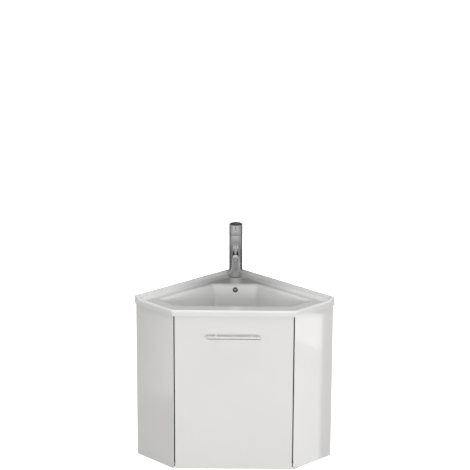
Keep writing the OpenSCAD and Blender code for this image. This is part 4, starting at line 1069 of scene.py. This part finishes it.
# Waste: flange, threaded tail with its guide, gasket, nut and the domed plug.
wasteLook = {"y": -35.927, "floorZ": 480.0, "flangeR": 31.5, "flange": 3.0, "tailR": 20.9, "boreR": 17.9, "low": 398.0,
             "bossZ": 452.0,
             "guideZ": 428.0, "guideR": 6.5, "stemR": 4.0, "plugR": 29.0, "plugZ": 482.6, "plugTop": 488.1, "domeR": 110.0}


def makeWaste(look):
    foot = (0, look["y"], 0)
    z, f, t, b, g = look["floorZ"], look["flangeR"], look["tailR"], look["boreR"], look["guideZ"]
    boss, seat, stem = look["bossZ"], z - look["flange"], look["stemR"]
    body = thread("wasteBody", t, 0.8, 1.8, look["low"], boss - 2, 48)
    combine(body, turned("top", (
        (0, boss - 4), (t - 1, boss - 4), (t, boss - 2), (t, seat), (f - 0.6, seat), (f, seat + 0.6), (f, z - 1.3),
        (f - 0.3, z - 0.5),
        (f - 1.1, z), (b + 3.5, z), (b + 1.2, z - 0.5), (b, z - 2), (0, z - 2))), "UNION")
    drill(body, (0, 0, 0), zUp, b, look["low"] - 1, z + 1, 64)
    for spin in (0, 90):
        combine(body, aimPiece(block("window", (-6, -25, boss + 6), (6, 25, boss + 14)), (0, 0, 0), spin=spin))
    hub = turned("hub", band(stem + 0.05, look["guideR"], g, g + 7, 0.3), sides=32, closed=True)
    rib = softEdges(block("rib", (-1.2, 5.8, g), (1.2, b + 0.6, g + 5)), 0.3, 2)
    body = aimPiece(joinAll("wasteBody", [body, hub, around(rib, 6)]), foot)
    gasket = turned("wasteGasket", band(t + 0.05, t + 9, boss - 5, boss, 0.8), foot, closed=True)
    nut = hexNut("wasteNut", foot, t + 11, t + 0.05, boss - 15, boss - 5)
    p, low = look["plugR"], look["plugZ"]
    outline = [(0, g - 10), (stem, g - 10), (stem, low), (p - 0.6, low), (p, low + 0.5)]
    for radius in (28.9, 28.6, 26, 20, 14, 8, 3, 0):
        drop = look["domeR"] - sqrt(look["domeR"] ** 2 - radius ** 2) + (0.25 if radius > 28.7 else 0)
        outline.append((radius, look["plugTop"] - drop))
    return body, gasket, nut, turned("wastePlug", outline, foot, sides=72)


wasteNodes = (("waste_body", "cabinet"), ("waste_gasket", "cabinet"), ("waste_nut", "cabinet"), ("waste_plug", "plug"))
for piece, (nodeName, body) in zip(makeWaste(wasteLook), wasteNodes):
    fit(piece, body, nodeName)
print("overflow and waste are made")

# Bottle trap: ribbed nuts, head with its side outlet, cup, pipes and the cover ring at the wall.
trapLook = {"outletZ": 344.0, "headR": 29.0, "headLow": 306.0, "headHigh": 368.0, "wall": 3.0, "pipeR": 16.0,
            "pipeWall": 1.6,
            "fitGap": 0.4, "stubR": 20.0, "stubLong": 46.0, "cupLow": 238.0, "cupHigh": 320.0, "cupR": 32.4, "footR": 25.4,
            "dip": (284.0, 396.0), "inletNutZ": 392.0, "outletNutAt": 34.0, "wallRun": 212.132, "past": 35.0}


def ribbedNut(name, outerR, boreR, height, ribs, seatR=None, seatFrom=0.0):
    # on Z from nought; a wider seat may start part of the way up or end part of the way down
    nut = turned(name, band(boreR, outerR - 0.8, 0, height, 1), sides=ribs * 4, closed=True)
    rib = turned("rib", ((0, 0.8), (1.0, 0.8), (1.6, 2.2), (1.6, height - 2.2), (1.0, height - 0.8), (0, height - 0.8)),
                 (outerR - 1.6, 0, 0), sides=10)
    combine(nut, around(rib, ribs), "UNION")
    if seatR:
        low, high = (seatFrom, height + 1) if seatFrom > 0 else (-1, -seatFrom)
        drill(nut, (0, 0, 0), zUp, seatR, low, high, 64)
    return nut


def makeTrap(look, y):
    foot, axis, out = (0, y, 0), (0, y, look["outletZ"]), Vector((1, 1, 0)).normalized()
    p, h, w, nutAt = look["pipeR"], look["headR"], look["wall"], look["outletNutAt"]
    stubR, stub = look["stubR"], look["stubLong"]
    bore, inner = p + look["fitGap"], p - look["pipeWall"]
    inletNut = aimPiece(ribbedNut("trapInletNut", 26.9, bore, 26, 18, 20.95, 4), (0, y, look["inletNutZ"]))
    dip = turned("trapDipTube", band(inner, p, *look["dip"], 0.3), foot, sides=56, closed=True)
    headNut = aimPiece(ribbedNut("trapHeadNut", p + 8, bore, 16, 16), (0, y, look["headHigh"]))
    low, high = look["headLow"], look["headHigh"]
    head = turned("trapHead", ((h - w, low), (h, low), (h, low + 16), (h, high - 3), (h - 0.9, high - 0.9), (h - 3, high),
                               (bore, high), (bore, high - w), (h - w, high - w)), foot, sides=72, closed=True)
    start = h - w + 0.5
    combine(head, turned("stub", ((bore, start), (stubR, start), (stubR, stub - 0.6), (stubR - 0.6, stub), (bore, stub)),
                         axis, out, 56, closed=True), "UNION")
    drill(head, axis, out, bore, 10, stub + 1, 56)
    low, high, c, f = look["cupLow"], look["cupHigh"], look["cupR"], look["footR"]
    inside = h + 0.05
    cup = turned("trapCup", (
        (0, low), (f - 5, low), (f - 1.4, low + 1.4), (f, low + 3.6), (f, high - 28.4), (f + 1, high - 26.6), (c - 1.2,
                high - 21.6),
        (c, high - 19.6), (c, high - 0.8), (c - 0.8, high), (inside, high), (inside, high - 15), (f - w, high - 30),
        (f - w, low + 6),
        (f - 8, low + w), (0, low + w)), sides=72)
    rib = turned("rib", ((0, high - 18.6), (1.2, high - 18.6), (2, high - 16.6), (2, high - 3), (1.2, high - 1.4),
                         (0, high - 1.4)),
                 (c - 0.5, 0, 0), sides=12)
    combine(cup, around(rib, 12), "UNION")
    drill(cup, (0, 0, 0), zUp, inside, high - 15, high + 1, 72)
    aimPiece(cup, foot)
    outletNut = ribbedNut("trapOutletNut", stubR + 4, bore, 22, 16, stubR + 0.05, -(stub - nutAt))
    aimPiece(outletNut, Vector(axis) + out * nutAt, out)
    run = look["wallRun"]
    end, start = run + look["past"], run - 9
    # a fine groove marks the wall's face on the pipe
    pipe = turned("trapOutletPipe", ((inner, h + 4), (p, h + 4), (p, run), (p - 0.3, run + 0.05), (p - 0.3, run + 0.95),
                                     (p, run + 1),
                                     (p, end - 1), (p - 0.8, end), (inner, end)), axis, out, 56, closed=True)
    cover = turned("wallRosette", (
        (bore, start), (p + 4.4, start), (p + 5.6, start + 0.5), (p + 9, start + 3), (p + 16.2, start + 7.4), (p + 17,
                start + 8.3),
        (p + 17, run), (p + 14, run), (p + 14, start + 8.4), (p + 7, start + 5), (p + 3, start + 3), (p + 3, run), (bore,
                run)),
        axis, out, 72, closed=True)
    return inletNut, dip, headNut, head, cup, outletNut, pipe, cover


trapNodes = ("trap_inlet_nut", "trap_dip_tube", "trap_head_nut", "trap_head", "trap_cup", "trap_outlet_nut",
             "trap_outlet_pipe", "wall_rosette")
for piece, nodeName in zip(makeTrap(trapLook, wasteLook["y"]), trapNodes):
    fit(piece, "cabinet", nodeName)
print("trap is made")

# Screws with crossed drives, modelled once for each kind and copied to their places.
screwLook = {
    "hinge_screws": {"body": "cabinet", "headR": 3.5, "headHigh": 2.0, "shankR": 1.8, "shankLong": 0.0},
    "cup_screws": {"body": "door", "headR": 3.6, "headHigh": 1.8, "shankR": 1.7, "shankLong": 1.0},
    "handle_screws": {"body": "door", "headR": 4.0, "headHigh": 2.2, "shankR": 2.0, "shankLong": 27.5},
}
# the hinge plates lie on the left panel's inner face: two screws hold each plate, and one clamps its arm
hingeLook = {"panelIn": 484.0, "along": 148.0, "plate": 2.5, "arm": 18.25, "plateZ": 16.0, "earX": 9.5, "earZ": 22.5}


def makeScrew(name, look):
    r, h, s, long = look["headR"], look["headHigh"], look["shankR"], look["shankLong"]
    head = [(r - 0.15, 0), (r, 0.2), (r, h - 0.9), (r - 0.25, h - 0.4), (r - 0.8, h - 0.1), (r - 1.6, h), (0, h)]
    shank = [(0, -long), (s, -long), (s, 0)] if long else [(0, 0)]
    screw = turned(name, shank + head, sides=28)
    for spin in (0, 90):
        combine(screw, aimPiece(block("slot", (-r * 0.62, -0.42, h - 0.95), (r * 0.62, 0.42, h + 0.5)), (0, 0, 0),
                                spin=spin))
    return combine(screw, turned("well", ((0, h - 1.3), (0.6, h - 1.2), (1.1, h - 0.3), (1.2, h + 0.4), (0, h + 0.4)),
                                 sides=12))


places = {nodeName: [] for nodeName in screwLook}
inward, backward = Vector((1, 1, 0)).normalized(), (0, 1, 0)
plateSpot = wallPoint(hingeLook["panelIn"] - hingeLook["plate"], hingeLook["along"], -1)
armSpot = wallPoint(hingeLook["panelIn"] - hingeLook["arm"], hingeLook["along"], -1)
earX = doorLook["cupX"] + hingeLook["earX"]
for number, z in enumerate(doorLook["hingeZ"]):
    for side in (-1, 1):
        places["hinge_screws"].append(((*plateSpot, z + side * hingeLook["plateZ"]), inward, 20 + 35 * side + 50 * number))
        places["cup_screws"].append(((earX, doorBack + 1, z + side * hingeLook["earZ"]), backward,
                                     15 - 25 * side + 40 * number))
    places["hinge_screws"].append(((*armSpot, z), inward, 10 + 30 * number))
for side in (-1, 1):
    places["handle_screws"].append(((side * doorLook["postX"], doorBack, doorLook["handleZ"]), backward, 30 * side))
for nodeName, look in screwLook.items():
    first = makeScrew(nodeName + "Piece", look)
    copies = [aimPiece(copyOf(first), *spot) for spot in places[nodeName]]
    bpy.data.objects.remove(first)
    fit(joinAll(titled(nodeName), copies), look["body"], nodeName)
print("screws are made")
